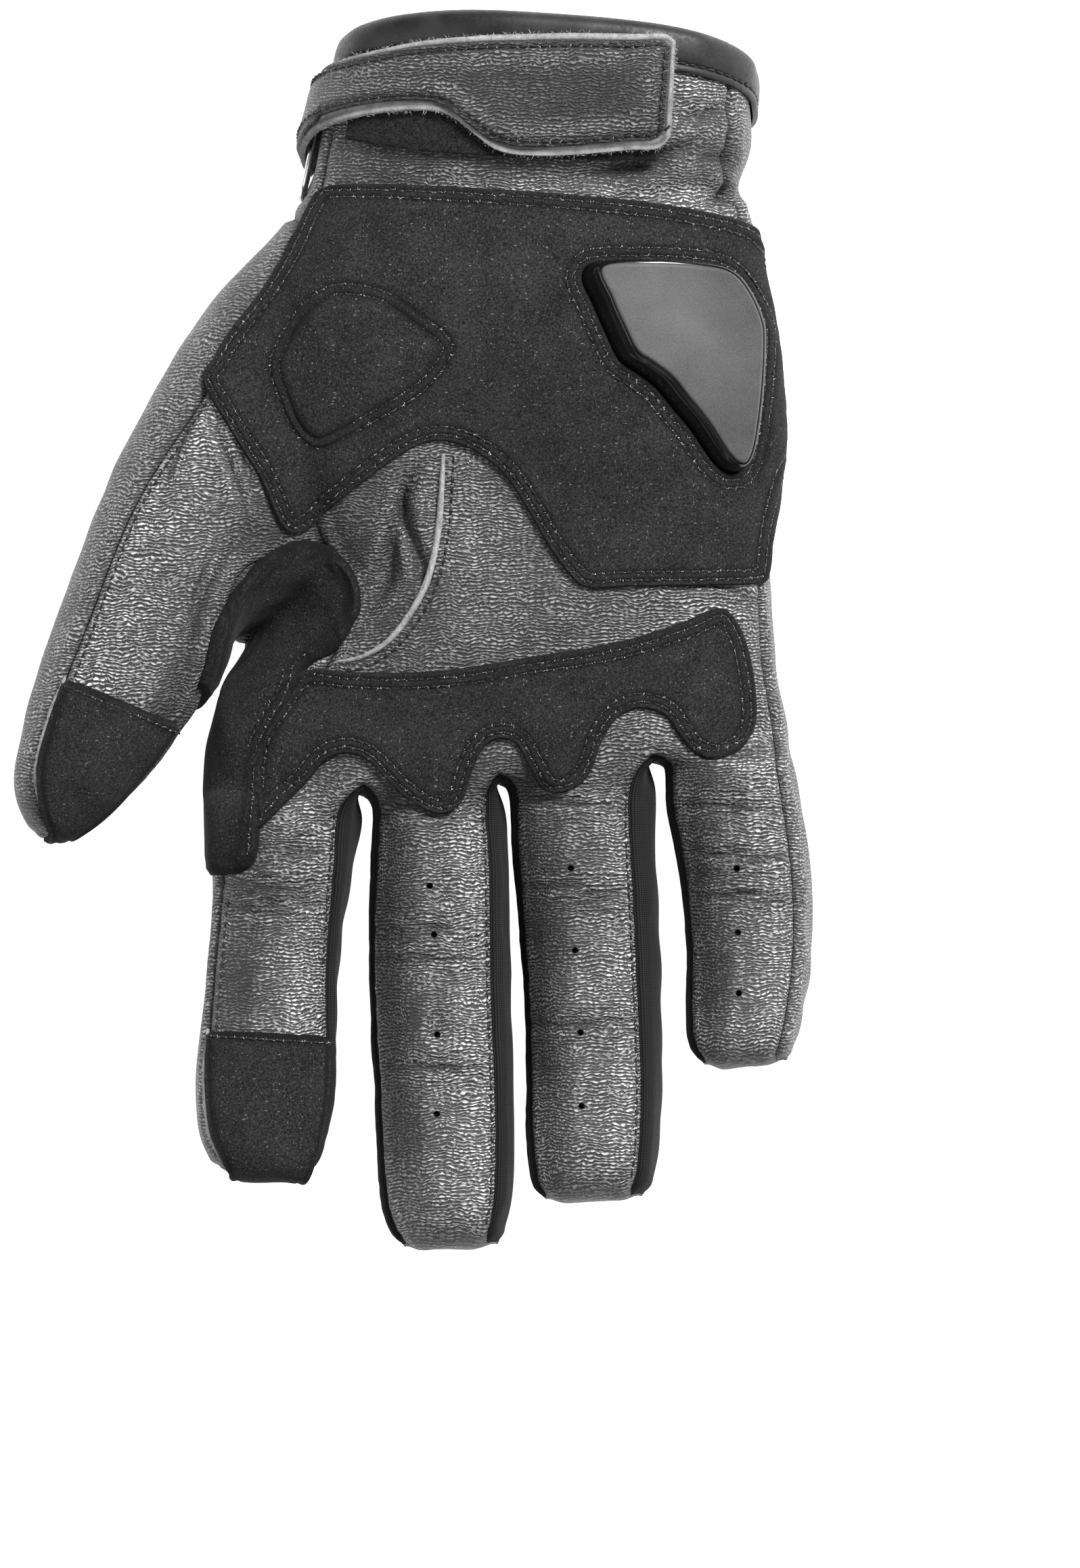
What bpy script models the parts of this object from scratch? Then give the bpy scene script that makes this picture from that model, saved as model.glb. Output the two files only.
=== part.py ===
"""A right-hand motorcycle glove that lies on its back, palm up.

The frame: +X to the little finger, +Y to the cuff, +Z up out of the palm, with
the floor at Z = 0 and the origin under the middle of the glove. Metres.

One skin is lofted through the sections below, as a cutter's block would be. It
is then cut into leather and knit panels, and everything that is sewn on top is
an overlay that follows the same skin.
"""

import math

import bmesh
import bpy
from mathutils import Vector
from mathutils.bvhtree import BVHTree

MM = 0.001

# Driving sizes of the hand
INDEX_LENGTH = 76.4 * MM
INDEX_WIDTH = 27.2 * MM
MIDDLE_LENGTH = 92.1 * MM
MIDDLE_WIDTH = 27.4 * MM
RING_LENGTH = 85.6 * MM
RING_WIDTH = 27.1 * MM
LITTLE_LENGTH = 63.2 * MM
LITTLE_WIDTH = 25.4 * MM
FINGER_DEPTH = 26.0 * MM
THUMB_REACH = 49.5 * MM
THUMB_DROP = 124.8 * MM
THUMB_DEPTH = 28.0 * MM
PALM_LENGTH = 145.0 * MM
PALM_DEPTH = 44.0 * MM
KNUCKLE_RISE = 11.6 * MM

# Stock and clearances
LEATHER = 1.5 * MM
KNIT = 1.5 * MM
SUEDE = 1.2 * MM
SEAM_GAP = 0.5 * MM
KNIT_PULL = 0.45 * MM
SEAT_GAP = 0.3 * MM
STRAP_THICKNESS = 2.4 * MM
LOOP_THICKNESS = 1.4 * MM
PAD_RISE = 1.4 * MM
SLIDER_HEIGHT = 5.2 * MM
SLIDER_PLATE = 0.9 * MM
SLIDER_CLEARANCE = 0.4 * MM
WELT_WIDTH = 1.6 * MM
WELT_HEIGHT = 1.1 * MM
BINDING_WALL = 1.3 * MM
BINDING_DROP = 7.0 * MM
RING_WIRE = 1.5 * MM
VENT_DIAMETER = 1.3 * MM

SECTION_POWER = 2.5
BACK_POWER = 3.2
SIDE_POINTS = 3
FINGER_COLUMNS = 4
PALM_COLUMNS = 4 * FINGER_COLUMNS

# Each finger: its share of the palm's root line in its own widths, the sideways
# lean of its axis, and the share of its width that each side wall takes from the
# front leather at the root, in the middle and at the tip.
# edges: along the length, left edge and right edge from the axis, in widths.
FINGERS = [
    {
        "name": "index", "length": INDEX_LENGTH, "width": INDEX_WIDTH,
        "slot": 1.13, "splay": -0.061,
        "left_wall": (0.10, 0.05, 0.13), "right_wall": (0.15, 0.06, 0.04),
        "edges": [
            (0.04, -0.547, 0.556), (0.10, -0.537, 0.532), (0.25, -0.512, 0.488),
            (0.39, -0.505, 0.449), (0.57, -0.525, 0.446), (0.67, -0.542, 0.475),
            (0.78, -0.547, 0.481), (0.88, -0.518, 0.447), (0.96, -0.413, 0.387),
            (1.00, -0.270, 0.303),
        ],
    },
    {
        "name": "middle", "length": MIDDLE_LENGTH, "width": MIDDLE_WIDTH,
        "slot": 0.99, "splay": 0.031,
        "left_wall": (0.03, 0.03, 0.07), "right_wall": (0.12, 0.12, 0.12),
        "edges": [
            (0.05, -0.448, 0.500), (0.10, -0.454, 0.518), (0.25, -0.481, 0.519),
            (0.42, -0.510, 0.512), (0.56, -0.490, 0.505), (0.68, -0.480, 0.515),
            (0.81, -0.482, 0.500), (0.90, -0.468, 0.475), (0.95, -0.418, 0.429),
            (1.00, -0.281, 0.322),
        ],
    },
    {
        "name": "ring", "length": RING_LENGTH, "width": RING_WIDTH,
        "slot": 1.135, "splay": 0.034,
        "left_wall": (0.04, 0.03, 0.04), "right_wall": (0.17, 0.16, 0.13),
        "edges": [
            (0.04, -0.527, 0.565), (0.13, -0.520, 0.544), (0.22, -0.495, 0.545),
            (0.40, -0.468, 0.543), (0.58, -0.448, 0.541), (0.76, -0.462, 0.527),
            (0.87, -0.467, 0.493), (0.95, -0.441, 0.439), (1.00, -0.320, 0.312),
        ],
    },
    {
        "name": "little", "length": LITTLE_LENGTH, "width": LITTLE_WIDTH,
        "slot": 1.05, "splay": 0.056,
        "left_wall": (0.06, 0.04, 0.05), "right_wall": (0.12, 0.14, 0.14),
        "edges": [
            (0.05, -0.480, 0.538), (0.12, -0.489, 0.560), (0.24, -0.445, 0.592),
            (0.36, -0.400, 0.618), (0.49, -0.375, 0.625), (0.61, -0.368, 0.608),
            (0.73, -0.385, 0.566), (0.86, -0.414, 0.494), (0.94, -0.377, 0.421),
            (1.00, -0.250, 0.321),
        ],
    },
]

# Where the rings of a finger stand along its length
RING_STOPS = (0.05, 0.15, 0.29, 0.46, 0.63, 0.77, 0.89, 0.955, 1.0)
INDEX_TIP_RING = 5

# A finger seen from the side: along, height of its axis and half depth, in finger depths
FINGER_SIDE = [
    (0.00, 0.56, 0.55), (0.20, 0.56, 0.52), (0.42, 0.60, 0.49), (0.63, 0.68, 0.46),
    (0.83, 0.80, 0.42), (0.91, 0.86, 0.39), (0.965, 0.90, 0.31), (1.00, 0.92, 0.17),
]

# Rows of the palm from the cuff's rim to the finger roots.
# y: share of the palm's length at the left and the right edge.
# left, right: silhouette, in palm widths from the wrist's axis.
# seams: how far the front seam lies inside the silhouette, left and right.
# back_left: how far the back seam lies inside the silhouette on the left.
# top, bottom: crown and back, in palm depths. power: roundness of the left side.
# lean: how far the row tips to the cuff for each unit of height.
# web: how far the thumb's web drops the row to the fingers at the back, in lengths.
PALM_ROWS = [
    {"y": (1.013, 0.976), "left": -0.337, "right": 0.360, "seams": (0.02, 0.04),
     "back_left": 0.05, "top": 1.06, "bottom": 0.10, "power": 2.2, "lean": 0.33},
    {"y": (0.955, 0.932), "left": -0.358, "right": 0.361, "seams": (0.02, 0.04),
     "back_left": 0.05, "top": 1.045, "bottom": 0.10, "power": 2.2, "lean": 0.24},
    {"y": (0.885, 0.877), "left": -0.383, "right": 0.360, "seams": (0.02, 0.04),
     "back_left": 0.05, "top": 1.01, "bottom": 0.10, "power": 2.2, "lean": 0.10},
    {"y": (0.830, 0.826), "left": -0.397, "right": 0.338, "seams": (0.02, 0.03),
     "back_left": 0.04, "top": 0.96, "bottom": 0.09, "power": 2.2, "lean": 0.02},
    {"y": (0.796, 0.796), "left": -0.420, "right": 0.360, "seams": (0.019, 0.02),
     "back_left": 0.03, "top": 0.97, "bottom": 0.06, "power": 2.2},
    {"y": (0.705, 0.705), "left": -0.515, "right": 0.382, "seams": (0.090, 0.02),
     "back_left": 0.09, "top": 0.99, "bottom": 0.00, "power": 2.4},
    {"y": (0.610, 0.610), "left": -0.595, "right": 0.402, "seams": (0.160, 0.02),
     "back_left": 0.16, "top": 0.98, "bottom": -0.03, "power": 2.5},
    {"y": (0.515, 0.515), "left": -0.633, "right": 0.413, "seams": (0.203, 0.02),
     "back_left": 0.193, "top": 0.95, "bottom": -0.04, "power": 2.4, "web": 0.02},
    {"y": (0.420, 0.420), "left": -0.610, "right": 0.406, "seams": (0.205, 0.02),
     "back_left": 0.155, "top": 0.91, "bottom": -0.04, "power": 2.2, "web": 0.05},
    {"y": (0.333, 0.333), "left": -0.545, "right": 0.394, "seams": (0.178, 0.02),
     "back_left": 0.02, "top": 0.86, "bottom": -0.04, "power": 1.4, "web": 0.143},
    {"y": (0.278, 0.278), "left": -0.505, "right": 0.396, "seams": (0.190, 0.02),
     "back_left": 0.008, "top": 0.83, "bottom": -0.03, "power": 1.4, "web": 0.132},
    {"y": (0.208, 0.208), "left": -0.540, "right": 0.400, "seams": (0.203, 0.02),
     "back_left": 0.02, "top": 0.79, "bottom": -0.02, "power": 1.5, "web": 0.100},
    {"y": (0.138, 0.138), "left": -0.553, "right": 0.406, "seams": (0.155, 0.02),
     "back_left": 0.03, "top": 0.75, "bottom": -0.02, "power": 1.8, "web": 0.064},
    {"y": (0.068, 0.068), "left": -0.565, "right": 0.417, "seams": (0.103, 0.02),
     "back_left": 0.03, "top": 0.72, "bottom": -0.01, "power": 2.1, "web": 0.030},
    {"y": (0.000, 0.000), "left": -0.569, "right": 0.426, "seams": (0.073, 0.02),
     "back_left": 0.03, "top": 0.68, "bottom": 0.00, "power": 2.3},
]
THUMB_TOP_ROW = 4
THUMB_CROTCH_ROW = 9
EQUATOR = 0.45

# Rings of the thumb. outer: shares of its reach and drop from the wrist corner.
# inner: shares of the way from the crotch to the tip. height, half: in thumb depths.
# walls: share of the ring that the outer and the inner side wall take from the front.
# web: how far the web carries the ring's inner back along the crease, in its length.
THUMB_RINGS = [
    {"outer": (0.277, 0.111), "inner": (0.175, 0.112), "height": 0.79, "half": 0.63, "walls": (0.20, 0.07), "web": 0.75},
    {"outer": (0.434, 0.196), "inner": (0.248, 0.183), "height": 0.82, "half": 0.59, "walls": (0.24, 0.12), "web": 0.60},
    {"outer": (0.566, 0.283), "inner": (0.300, 0.269), "height": 0.86, "half": 0.56, "walls": (0.23, 0.12), "web": 0.50},
    {"outer": (0.731, 0.412), "inner": (0.361, 0.398), "height": 0.90, "half": 0.53, "walls": (0.19, 0.06), "web": 0.38},
    {"outer": (0.881, 0.557), "inner": (0.432, 0.487), "height": 0.93, "half": 0.49, "walls": (0.20, 0.03), "web": 0.29},
    {"outer": (0.956, 0.645), "inner": (0.455, 0.539), "height": 0.94, "half": 0.47, "walls": (0.19, 0.03), "web": 0.22},
    {"outer": (1.025, 0.726), "inner": (0.505, 0.613), "height": 0.95, "half": 0.45, "walls": (0.18, 0.03), "web": 0.17},
    {"outer": (1.085, 0.807), "inner": (0.581, 0.710), "height": 0.95, "half": 0.42, "walls": (0.18, 0.03), "web": 0.11},
    {"outer": (1.123, 0.877), "inner": (0.665, 0.805), "height": 0.94, "half": 0.39, "walls": (0.19, 0.03), "web": 0.05},
    {"outer": (1.118, 0.946), "inner": (0.771, 0.913), "height": 0.925, "half": 0.30, "walls": (0.26, 0.045), "web": 0.0},
    {"outer": (1.038, 0.994), "inner": (0.876, 0.977), "height": 0.91, "half": 0.15, "walls": (0.33, 0.06), "web": 0.0},
]
THUMB_TIP_RING = 7

# Mounds and hollows of the front: x in palm widths, y in palm lengths,
# spread in palm widths, rise in palm depths
MOUNDS = [
    {"x": -0.32, "y": 0.60, "spread": 0.13, "rise": 0.05},
    {"x": 0.16, "y": 0.60, "spread": 0.12, "rise": 0.03},
    {"x": -0.08, "y": 0.42, "spread": 0.13, "rise": -0.09},
    {"x": 0.02, "y": 0.80, "spread": 0.20, "rise": -0.05},
    {"x": -0.46, "y": 0.24, "spread": 0.06, "rise": -0.16},
    {"x": 0.34, "y": 0.82, "spread": 0.05, "rise": -0.07},
    {"x": 0.24, "y": 0.90, "spread": 0.06, "rise": 0.04},
]

# Outlines of what is sewn on, as shares of the palm's width and length
PALM_PATCH = [
    (-0.367, 0.825), (-0.296, 0.828), (-0.175, 0.824), (0.013, 0.815), (0.175, 0.803),
    (0.283, 0.789), (0.352, 0.775), (0.385, 0.755), (0.430, 0.708), (0.450, 0.600),
    (0.450, 0.483), (0.420, 0.430), (0.396, 0.354), (0.388, 0.300), (0.372, 0.284),
    (0.283, 0.281), (0.148, 0.279), (0.081, 0.277), (0.051, 0.292), (0.013, 0.333),
    (-0.024, 0.384), (-0.061, 0.429), (-0.108, 0.461), (-0.155, 0.476), (-0.195, 0.476),
    (-0.236, 0.461), (-0.296, 0.427), (-0.364, 0.384), (-0.404, 0.358), (-0.434, 0.354),
    (-0.456, 0.373), (-0.485, 0.429), (-0.526, 0.483), (-0.577, 0.556), (-0.559, 0.590),
    (-0.526, 0.633), (-0.472, 0.687), (-0.431, 0.740), (-0.398, 0.796),
]
KNUCKLE_PATCH = [
    (-0.388, 0.167), (-0.323, 0.164), (-0.229, 0.163), (-0.121, 0.170), (-0.013, 0.185),
    (0.094, 0.198), (0.189, 0.217), (0.256, 0.236), (0.299, 0.251), (0.323, 0.245),
    (0.348, 0.209), (0.364, 0.150), (0.367, 0.097), (0.348, 0.062), (0.303, 0.042),
    (0.263, 0.052), (0.232, 0.080), (0.209, 0.105), (0.168, 0.114), (0.132, 0.102),
    (0.105, 0.070), (0.088, 0.032), (0.065, 0.009), (0.030, -0.002), (0.000, 0.008),
    (-0.024, 0.038), (-0.047, 0.067), (-0.078, 0.071), (-0.102, 0.056), (-0.121, 0.021),
    (-0.135, -0.011), (-0.159, -0.029), (-0.191, -0.028), (-0.236, -0.005),
    (-0.270, 0.021), (-0.303, 0.045), (-0.337, 0.052), (-0.371, 0.041), (-0.404, 0.011),
    (-0.434, -0.021), (-0.462, -0.036), (-0.470, 0.011), (-0.466, 0.054),
    (-0.450, 0.086), (-0.419, 0.123), (-0.400, 0.150),
]
WEB_PATCH = [
    (-0.404, 0.344), (-0.352, 0.329), (-0.321, 0.301), (-0.307, 0.269), (-0.314, 0.234),
    (-0.356, 0.191), (-0.402, 0.170), (-0.412, 0.147), (-0.428, 0.119), (-0.457, 0.082),
    (-0.473, 0.052), (-0.477, 0.010), (-0.484, -0.060), (-0.487, -0.087),
    (-0.502, -0.105), (-0.530, -0.113), (-0.590, -0.113), (-0.640, -0.100),
    (-0.640, 0.050), (-0.640, 0.120), (-0.596, 0.142), (-0.580, 0.170),
    (-0.560, 0.230), (-0.500, 0.300), (-0.455, 0.333),
]
SLIDER = [
    (0.105, 0.712), (0.189, 0.718), (0.283, 0.714), (0.328, 0.704), (0.356, 0.678),
    (0.376, 0.642), (0.380, 0.612), (0.376, 0.547), (0.366, 0.483), (0.355, 0.453),
    (0.341, 0.448), (0.321, 0.462), (0.286, 0.504), (0.253, 0.536), (0.224, 0.564),
    (0.189, 0.585), (0.164, 0.599), (0.142, 0.633), (0.121, 0.671),
]
SLIDER_TILT = Vector((0.50, 0.16, 0.85)).normalized()
THENAR_PAD = {"x": -0.31, "y": 0.585, "spread": 0.085}

# The light raw seam that stands up between the thumb's gusset and the palm
WELT_PATH = [
    (-0.168, 0.460), (-0.170, 0.425), (-0.174, 0.375), (-0.183, 0.325), (-0.199, 0.280),
    (-0.228, 0.238), (-0.264, 0.204), (-0.307, 0.184), (-0.352, 0.177),
]

# Strap and loop patch. turn: palm columns from the left seam, negative round the
# left side and over the back. low, high: palm lengths. lift: from the leather, in mm.
STRAP = [
    {"turn": 13.4, "low": 0.894, "high": 1.018, "lift": 2.3},
    {"turn": 13.0, "low": 0.880, "high": 1.028, "lift": 2.3},
    {"turn": 12.0, "low": 0.877, "high": 1.029, "lift": 2.3},
    {"turn": 9.8, "low": 0.869, "high": 1.031, "lift": 2.3},
    {"turn": 8.2, "low": 0.869, "high": 1.030, "lift": 2.3},
    {"turn": 7.2, "low": 0.877, "high": 1.029, "lift": 2.3},
    {"turn": 6.4, "low": 0.895, "high": 1.028, "lift": 2.3},
    {"turn": 5.6, "low": 0.915, "high": 1.026, "lift": 2.3},
    {"turn": 4.9, "low": 0.925, "high": 1.024, "lift": 2.3},
    {"turn": 3.5, "low": 0.926, "high": 1.018, "lift": 2.3},
    {"turn": 1.6, "low": 0.918, "high": 1.006, "lift": 2.3},
    {"turn": 0.0, "low": 0.900, "high": 0.991, "lift": 2.3},
    {"turn": -1.0, "low": 0.878, "high": 0.978, "lift": 2.3},
    {"turn": -2.0, "low": 0.858, "high": 0.960, "lift": 2.3},
    {"turn": -3.0, "low": 0.840, "high": 0.942, "lift": 2.3},
    {"turn": -4.0, "low": 0.828, "high": 0.918, "lift": 1.9},
    {"turn": -5.0, "low": 0.820, "high": 0.898, "lift": 1.6},
    {"turn": -6.0, "low": 0.818, "high": 0.884, "lift": 1.0},
    {"turn": -8.0, "low": 0.818, "high": 0.878, "lift": 0.7},
    {"turn": -13.0, "low": 0.818, "high": 0.876, "lift": 0.7},
]
LOOP_PATCH = [
    {"turn": 13.1, "low": 0.860, "high": 0.975, "lift": 0.3},
    {"turn": 10.5, "low": 0.861, "high": 0.975, "lift": 0.3},
    {"turn": 8.0, "low": 0.864, "high": 0.975, "lift": 0.3},
    {"turn": 5.0, "low": 0.870, "high": 0.975, "lift": 0.3},
    {"turn": 2.5, "low": 0.880, "high": 0.972, "lift": 0.3},
    {"turn": 1.0, "low": 0.888, "high": 0.968, "lift": 0.3},
]
# The metal loop under the strap: turn, y in palm lengths
STRAP_RING = [
    (-1.45, 0.920), (-1.35, 0.885), (-1.3, 0.850), (-1.4, 0.822), (-2.0, 0.812),
    (-2.7, 0.812), (-2.8, 0.840), (-2.8, 0.875), (-2.75, 0.905), (-2.1, 0.920),
]
# Section of the cuff's binding: out from the leather's face and up past its rim, in mm
BINDING_SECTION = [
    (0.3, -1.00), (1.3, -0.95), (1.2, -0.78), (1.6, -0.55), (1.6, 0.00), (0.9, 0.20),
    (-1.2, 0.25), (-2.9, 0.10), (-2.9, -0.90), (-1.8, -0.90), (-1.8, 0.05), (0.3, 0.05),
]

# Vent holes down the fronts of three fingers: share of the length, side step in widths
VENTS = {
    "middle": [(0.22, -0.05), (0.54, -0.03), (0.71, -0.05)],
    "ring": [(0.23, -0.09), (0.42, -0.08), (0.61, -0.06), (0.78, -0.07)],
    "little": [(0.38, 0.04), (0.58, 0.02), (0.77, 0.0)],
}

PANELS = [
    "palm_panel", "back_panel", "fourchette_index_middle", "fourchette_middle_ring",
    "fourchette_ring_little", "thumb_front", "thumb_back",
]
PALM, BACK, FOURCHETTE, THUMB_FRONT, THUMB_BACK = 0, 1, 2, 5, 6

MATERIALS = {
    "grained_leather": ((0.150, 0.150, 0.152), 0.55, 0.0),
    "smooth_leather": ((0.020, 0.020, 0.021), 0.35, 0.0),
    "suede": ((0.032, 0.032, 0.033), 0.95, 0.0),
    "knit": ((0.018, 0.018, 0.019), 0.85, 0.0),
    "loop_pile": ((0.010, 0.010, 0.010), 0.95, 0.0),
    "raw_edge": ((0.420, 0.420, 0.420), 0.90, 0.0),
    "gloss_plastic": ((0.008, 0.008, 0.008), 0.12, 0.0),
    "satin_plastic": ((0.130, 0.130, 0.132), 0.45, 0.2),
    "steel": ((0.600, 0.600, 0.610), 0.25, 1.0),
}

PALM_WIDTH = sum(finger["slot"] * finger["width"] for finger in FINGERS)
LEFT_EDGE = PALM_ROWS[-1]["left"] * PALM_WIDTH


def clear_scene():
    for obj in list(bpy.data.objects):
        bpy.data.objects.remove(obj)


def material(name):
    made = bpy.data.materials.get(name)
    if made:
        return made
    colour, roughness, metallic = MATERIALS[name]
    made = bpy.data.materials.new(name)
    made.use_nodes = True
    shader = made.node_tree.nodes["Principled BSDF"]
    shader.inputs["Base Color"].default_value = (*colour, 1.0)
    shader.inputs["Roughness"].default_value = roughness
    shader.inputs["Metallic"].default_value = metallic
    return made


def new_object(name, bm, material_name, helper=False):
    mesh = bpy.data.meshes.new(name)
    bm.to_mesh(mesh)
    bm.free()
    obj = bpy.data.objects.new(name, mesh)
    bpy.context.scene.collection.objects.link(obj)
    if helper:
        obj.hide_render = True
        obj.display_type = "WIRE"
    else:
        mesh.materials.append(material(material_name))
        mesh.shade_smooth()
        mesh.set_sharp_from_angle(angle=math.radians(40))
    return obj


def between(table, along):
    """The row of a table at a share of the length, on a smooth curve through its rows."""
    first = [row[0] for row in table]
    if along <= first[0]:
        return table[0][1:]
    if along >= first[-1]:
        return table[-1][1:]
    k = max(i for i, value in enumerate(first) if value <= along)
    step = first[k + 1] - first[k]
    u = (along - first[k]) / step
    found = []
    for column in range(1, len(table[0])):
        here, there = table[k][column], table[k + 1][column]
        before = max(k - 1, 0)
        after = min(k + 2, len(table) - 1)
        slope_here = (there - table[before][column]) / (first[k + 1] - first[before])
        slope_there = (table[after][column] - here) / (first[after] - first[k])
        found.append(
            (2 * u**3 - 3 * u**2 + 1) * here
            + (u**3 - 2 * u**2 + u) * step * slope_here
            + (3 * u**2 - 2 * u**3) * there
            + (u**3 - u**2) * step * slope_there
        )
    return found


def three_stage(values, along):
    """A value given at the root, the middle and the tip."""
    root, middle, tip = values
    return between([(0.0, root), (0.5, middle), (1.0, tip)], along)[0]


def rim_height(across, power):
    return (1 - min(abs(across), 1.0) ** power) ** (1 / power)


def section(left, right, middle_z, up, down, fronts, backs, powers):
    """One closed ring of the skin, from the left front seam round to the left side.

    left and right are the silhouette points in plan. fronts and backs list where the
    columns stand, from -1 at the left silhouette to 1 at the right one.
    """
    front_power, back_power, left_power = powers
    centre, half = (left + right) / 2, (right - left) / 2

    def power_at(across, base):
        if across >= 0:
            return base
        return base + (left_power - base) * min(1.0, -across * 1.5)

    def at(across, height):
        spot = centre + half * across
        return Vector((spot.x, spot.y, max(0.0, middle_z + height)))

    def front(across):
        return at(across, up * rim_height(across, power_at(across, front_power)))

    def back(across):
        return at(across, -down * rim_height(across, back_power))

    def side(start, end):
        """Points between a front seam and the back seam below it."""
        sign = 1 if start > 0 else -1
        power = front_power if sign > 0 else left_power
        angle_from = math.acos(min(1.0, abs(start)) ** (power / 2))
        angle_to = -math.acos(min(1.0, abs(end)) ** (back_power / 2))
        points = []
        for k in range(1, SIDE_POINTS + 1):
            angle = angle_from + (angle_to - angle_from) * k / (SIDE_POINTS + 1)
            shape = power if angle > 0 else back_power
            across = sign * math.cos(angle) ** (2 / shape)
            reach = up if angle > 0 else -down
            points.append(at(across, reach * abs(math.sin(angle)) ** (2 / shape)))
        return points

    ring = [front(across) for across in fronts]
    ring += side(fronts[-1], backs[-1])
    ring += [back(across) for across in reversed(backs)]
    ring += reversed(side(fronts[0], backs[0]))
    return ring


def column_shares():
    """Where the palm's columns stand between its two front seams."""
    crotches = [0.0]
    for finger in FINGERS:
        crotches.append(crotches[-1] + finger["slot"] * finger["width"])
    seam_left = PALM_ROWS[-1]["seams"][0] * PALM_WIDTH
    seam_right = crotches[-1] - PALM_ROWS[-1]["seams"][1] * PALM_WIDTH
    stops = [seam_left] + crotches[1:-1] + [seam_right]
    shares = []
    for start, end in zip(stops, stops[1:]):
        for k in range(FINGER_COLUMNS):
            shares.append(start + (end - start) * k / FINGER_COLUMNS)
    shares.append(stops[-1])
    return [(share - seam_left) / (seam_right - seam_left) for share in shares]


def mound_rise(x, y):
    total = 0.0
    for mound in MOUNDS:
        away_x = x - mound["x"] * PALM_WIDTH
        away_y = y - mound["y"] * PALM_LENGTH
        spread = mound["spread"] * PALM_WIDTH
        total += mound["rise"] * math.exp(-(away_x**2 + away_y**2) / (2 * spread**2))
    return total * PALM_DEPTH


def palm_ring(index):
    row = PALM_ROWS[index]
    left_x, right_x = row["left"] * PALM_WIDTH, row["right"] * PALM_WIDTH
    left = Vector((left_x, row["y"][0] * PALM_LENGTH))
    right = Vector((right_x, row["y"][1] * PALM_LENGTH))
    width = row["right"] - row["left"]
    start = -1 + 2 * row["seams"][0] / width
    end = 1 - 2 * row["seams"][1] / width
    fronts = [start + (end - start) * share for share in column_shares()]
    back_start = -1 + 2 * row["back_left"] / width
    back_end = 1 - 2 * 0.05 / width
    backs = [back_start + (back_end - back_start) * share for share in column_shares()]
    bottom, top = row["bottom"] * PALM_DEPTH, row["top"] * PALM_DEPTH
    middle = bottom + EQUATOR * (top - bottom)
    powers = (SECTION_POWER, BACK_POWER, row["power"])
    ring = section(left, right, middle, top - middle, middle - bottom, fronts, backs, powers)
    past_crotch = max(0, index - THUMB_CROTCH_ROW)
    curve = (past_crotch / (len(PALM_ROWS) - 1 - THUMB_CROTCH_ROW)) ** 2
    back_to = 2 * PALM_COLUMNS + SIDE_POINTS + 1
    for k, point in enumerate(ring):
        if k <= PALM_COLUMNS or k > back_to:
            point.z += mound_rise(point.x, point.y)
        across = (point.x - LEFT_EDGE) / PALM_WIDTH
        point.y += row.get("lean", 0.0) * (point.z - middle)
        point.y += KNUCKLE_RISE * curve * max(0.0, across) ** 2
        if k > back_to:
            deep = (len(ring) - k) / (SIDE_POINTS + 1)
        else:
            deep = max(0.0, 1 - (back_to - k) / 5) if k > PALM_COLUMNS else 0.0
        point.y -= row.get("web", 0.0) * PALM_LENGTH * deep
    if index == THUMB_CROTCH_ROW:
        for k in range(1, SIDE_POINTS + 1):
            ring[back_to + k] = ring[back_to].lerp(ring[0], k / (SIDE_POINTS + 1))
    return ring


def finger_ring(finger, root, along):
    """A ring of a finger. root is the middle of its slot on the palm's root line."""
    left_share, right_share = between(finger["edges"], along)
    height, half = between(FINGER_SIDE, along)
    axis = Vector((finger["splay"], -1.0)).normalized()
    across = Vector((-axis.y, axis.x))
    spot = root + axis * along * finger["length"]
    left = spot + across * left_share * finger["width"]
    right = spot + across * right_share * finger["width"]
    start = -1 + 2 * three_stage(finger["left_wall"], along)
    end = 1 - 2 * three_stage(finger["right_wall"], along)
    steps = [k / FINGER_COLUMNS for k in range(FINGER_COLUMNS + 1)]
    fronts = [start + (end - start) * step for step in steps]
    backs = [-0.84 + 1.68 * step for step in steps]
    reach = half * FINGER_DEPTH
    powers = (SECTION_POWER, SECTION_POWER, SECTION_POWER)
    return section(left, right, height * FINGER_DEPTH, reach, reach, fronts, backs, powers)


def thumb_ring(ring, corner, crotch, crease):
    tip = corner + Vector((-THUMB_REACH, -THUMB_DROP))
    outer = corner + Vector(
        (-ring["outer"][0] * THUMB_REACH, -ring["outer"][1] * THUMB_DROP)
    )
    way = tip - crotch
    inner = crotch + Vector((ring["inner"][0] * way.x, ring["inner"][1] * way.y))
    start = -1 + 2 * ring["walls"][0]
    end = 1 - 2 * ring["walls"][1]
    columns = THUMB_CROTCH_ROW - THUMB_TOP_ROW
    steps = [k / columns for k in range(columns + 1)]
    fronts = [start + (end - start) * step for step in steps]
    backs = [-0.82 + 1.64 * step for step in steps]
    reach = ring["half"] * THUMB_DEPTH
    powers = (SECTION_POWER, SECTION_POWER, SECTION_POWER)
    made = section(
        outer, inner, ring["height"] * THUMB_DEPTH, reach, reach, fronts, backs, powers
    )
    back_from = columns + SIDE_POINTS + 1
    for k, point in enumerate(made):
        if columns < k <= back_from:
            deep = (k - columns) / (SIDE_POINTS + 1)
        else:
            deep = max(0.0, 1 - (k - back_from) / 4) if k > columns else 0.0
        shift = crease * ring["web"] * min(deep, 1.0)
        point.x, point.y = point.x + shift.x, point.y + shift.y
    return made


def quad(bm, corners, panel):
    face = bm.faces.new(corners)
    face.material_index = panel
    return face


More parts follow.
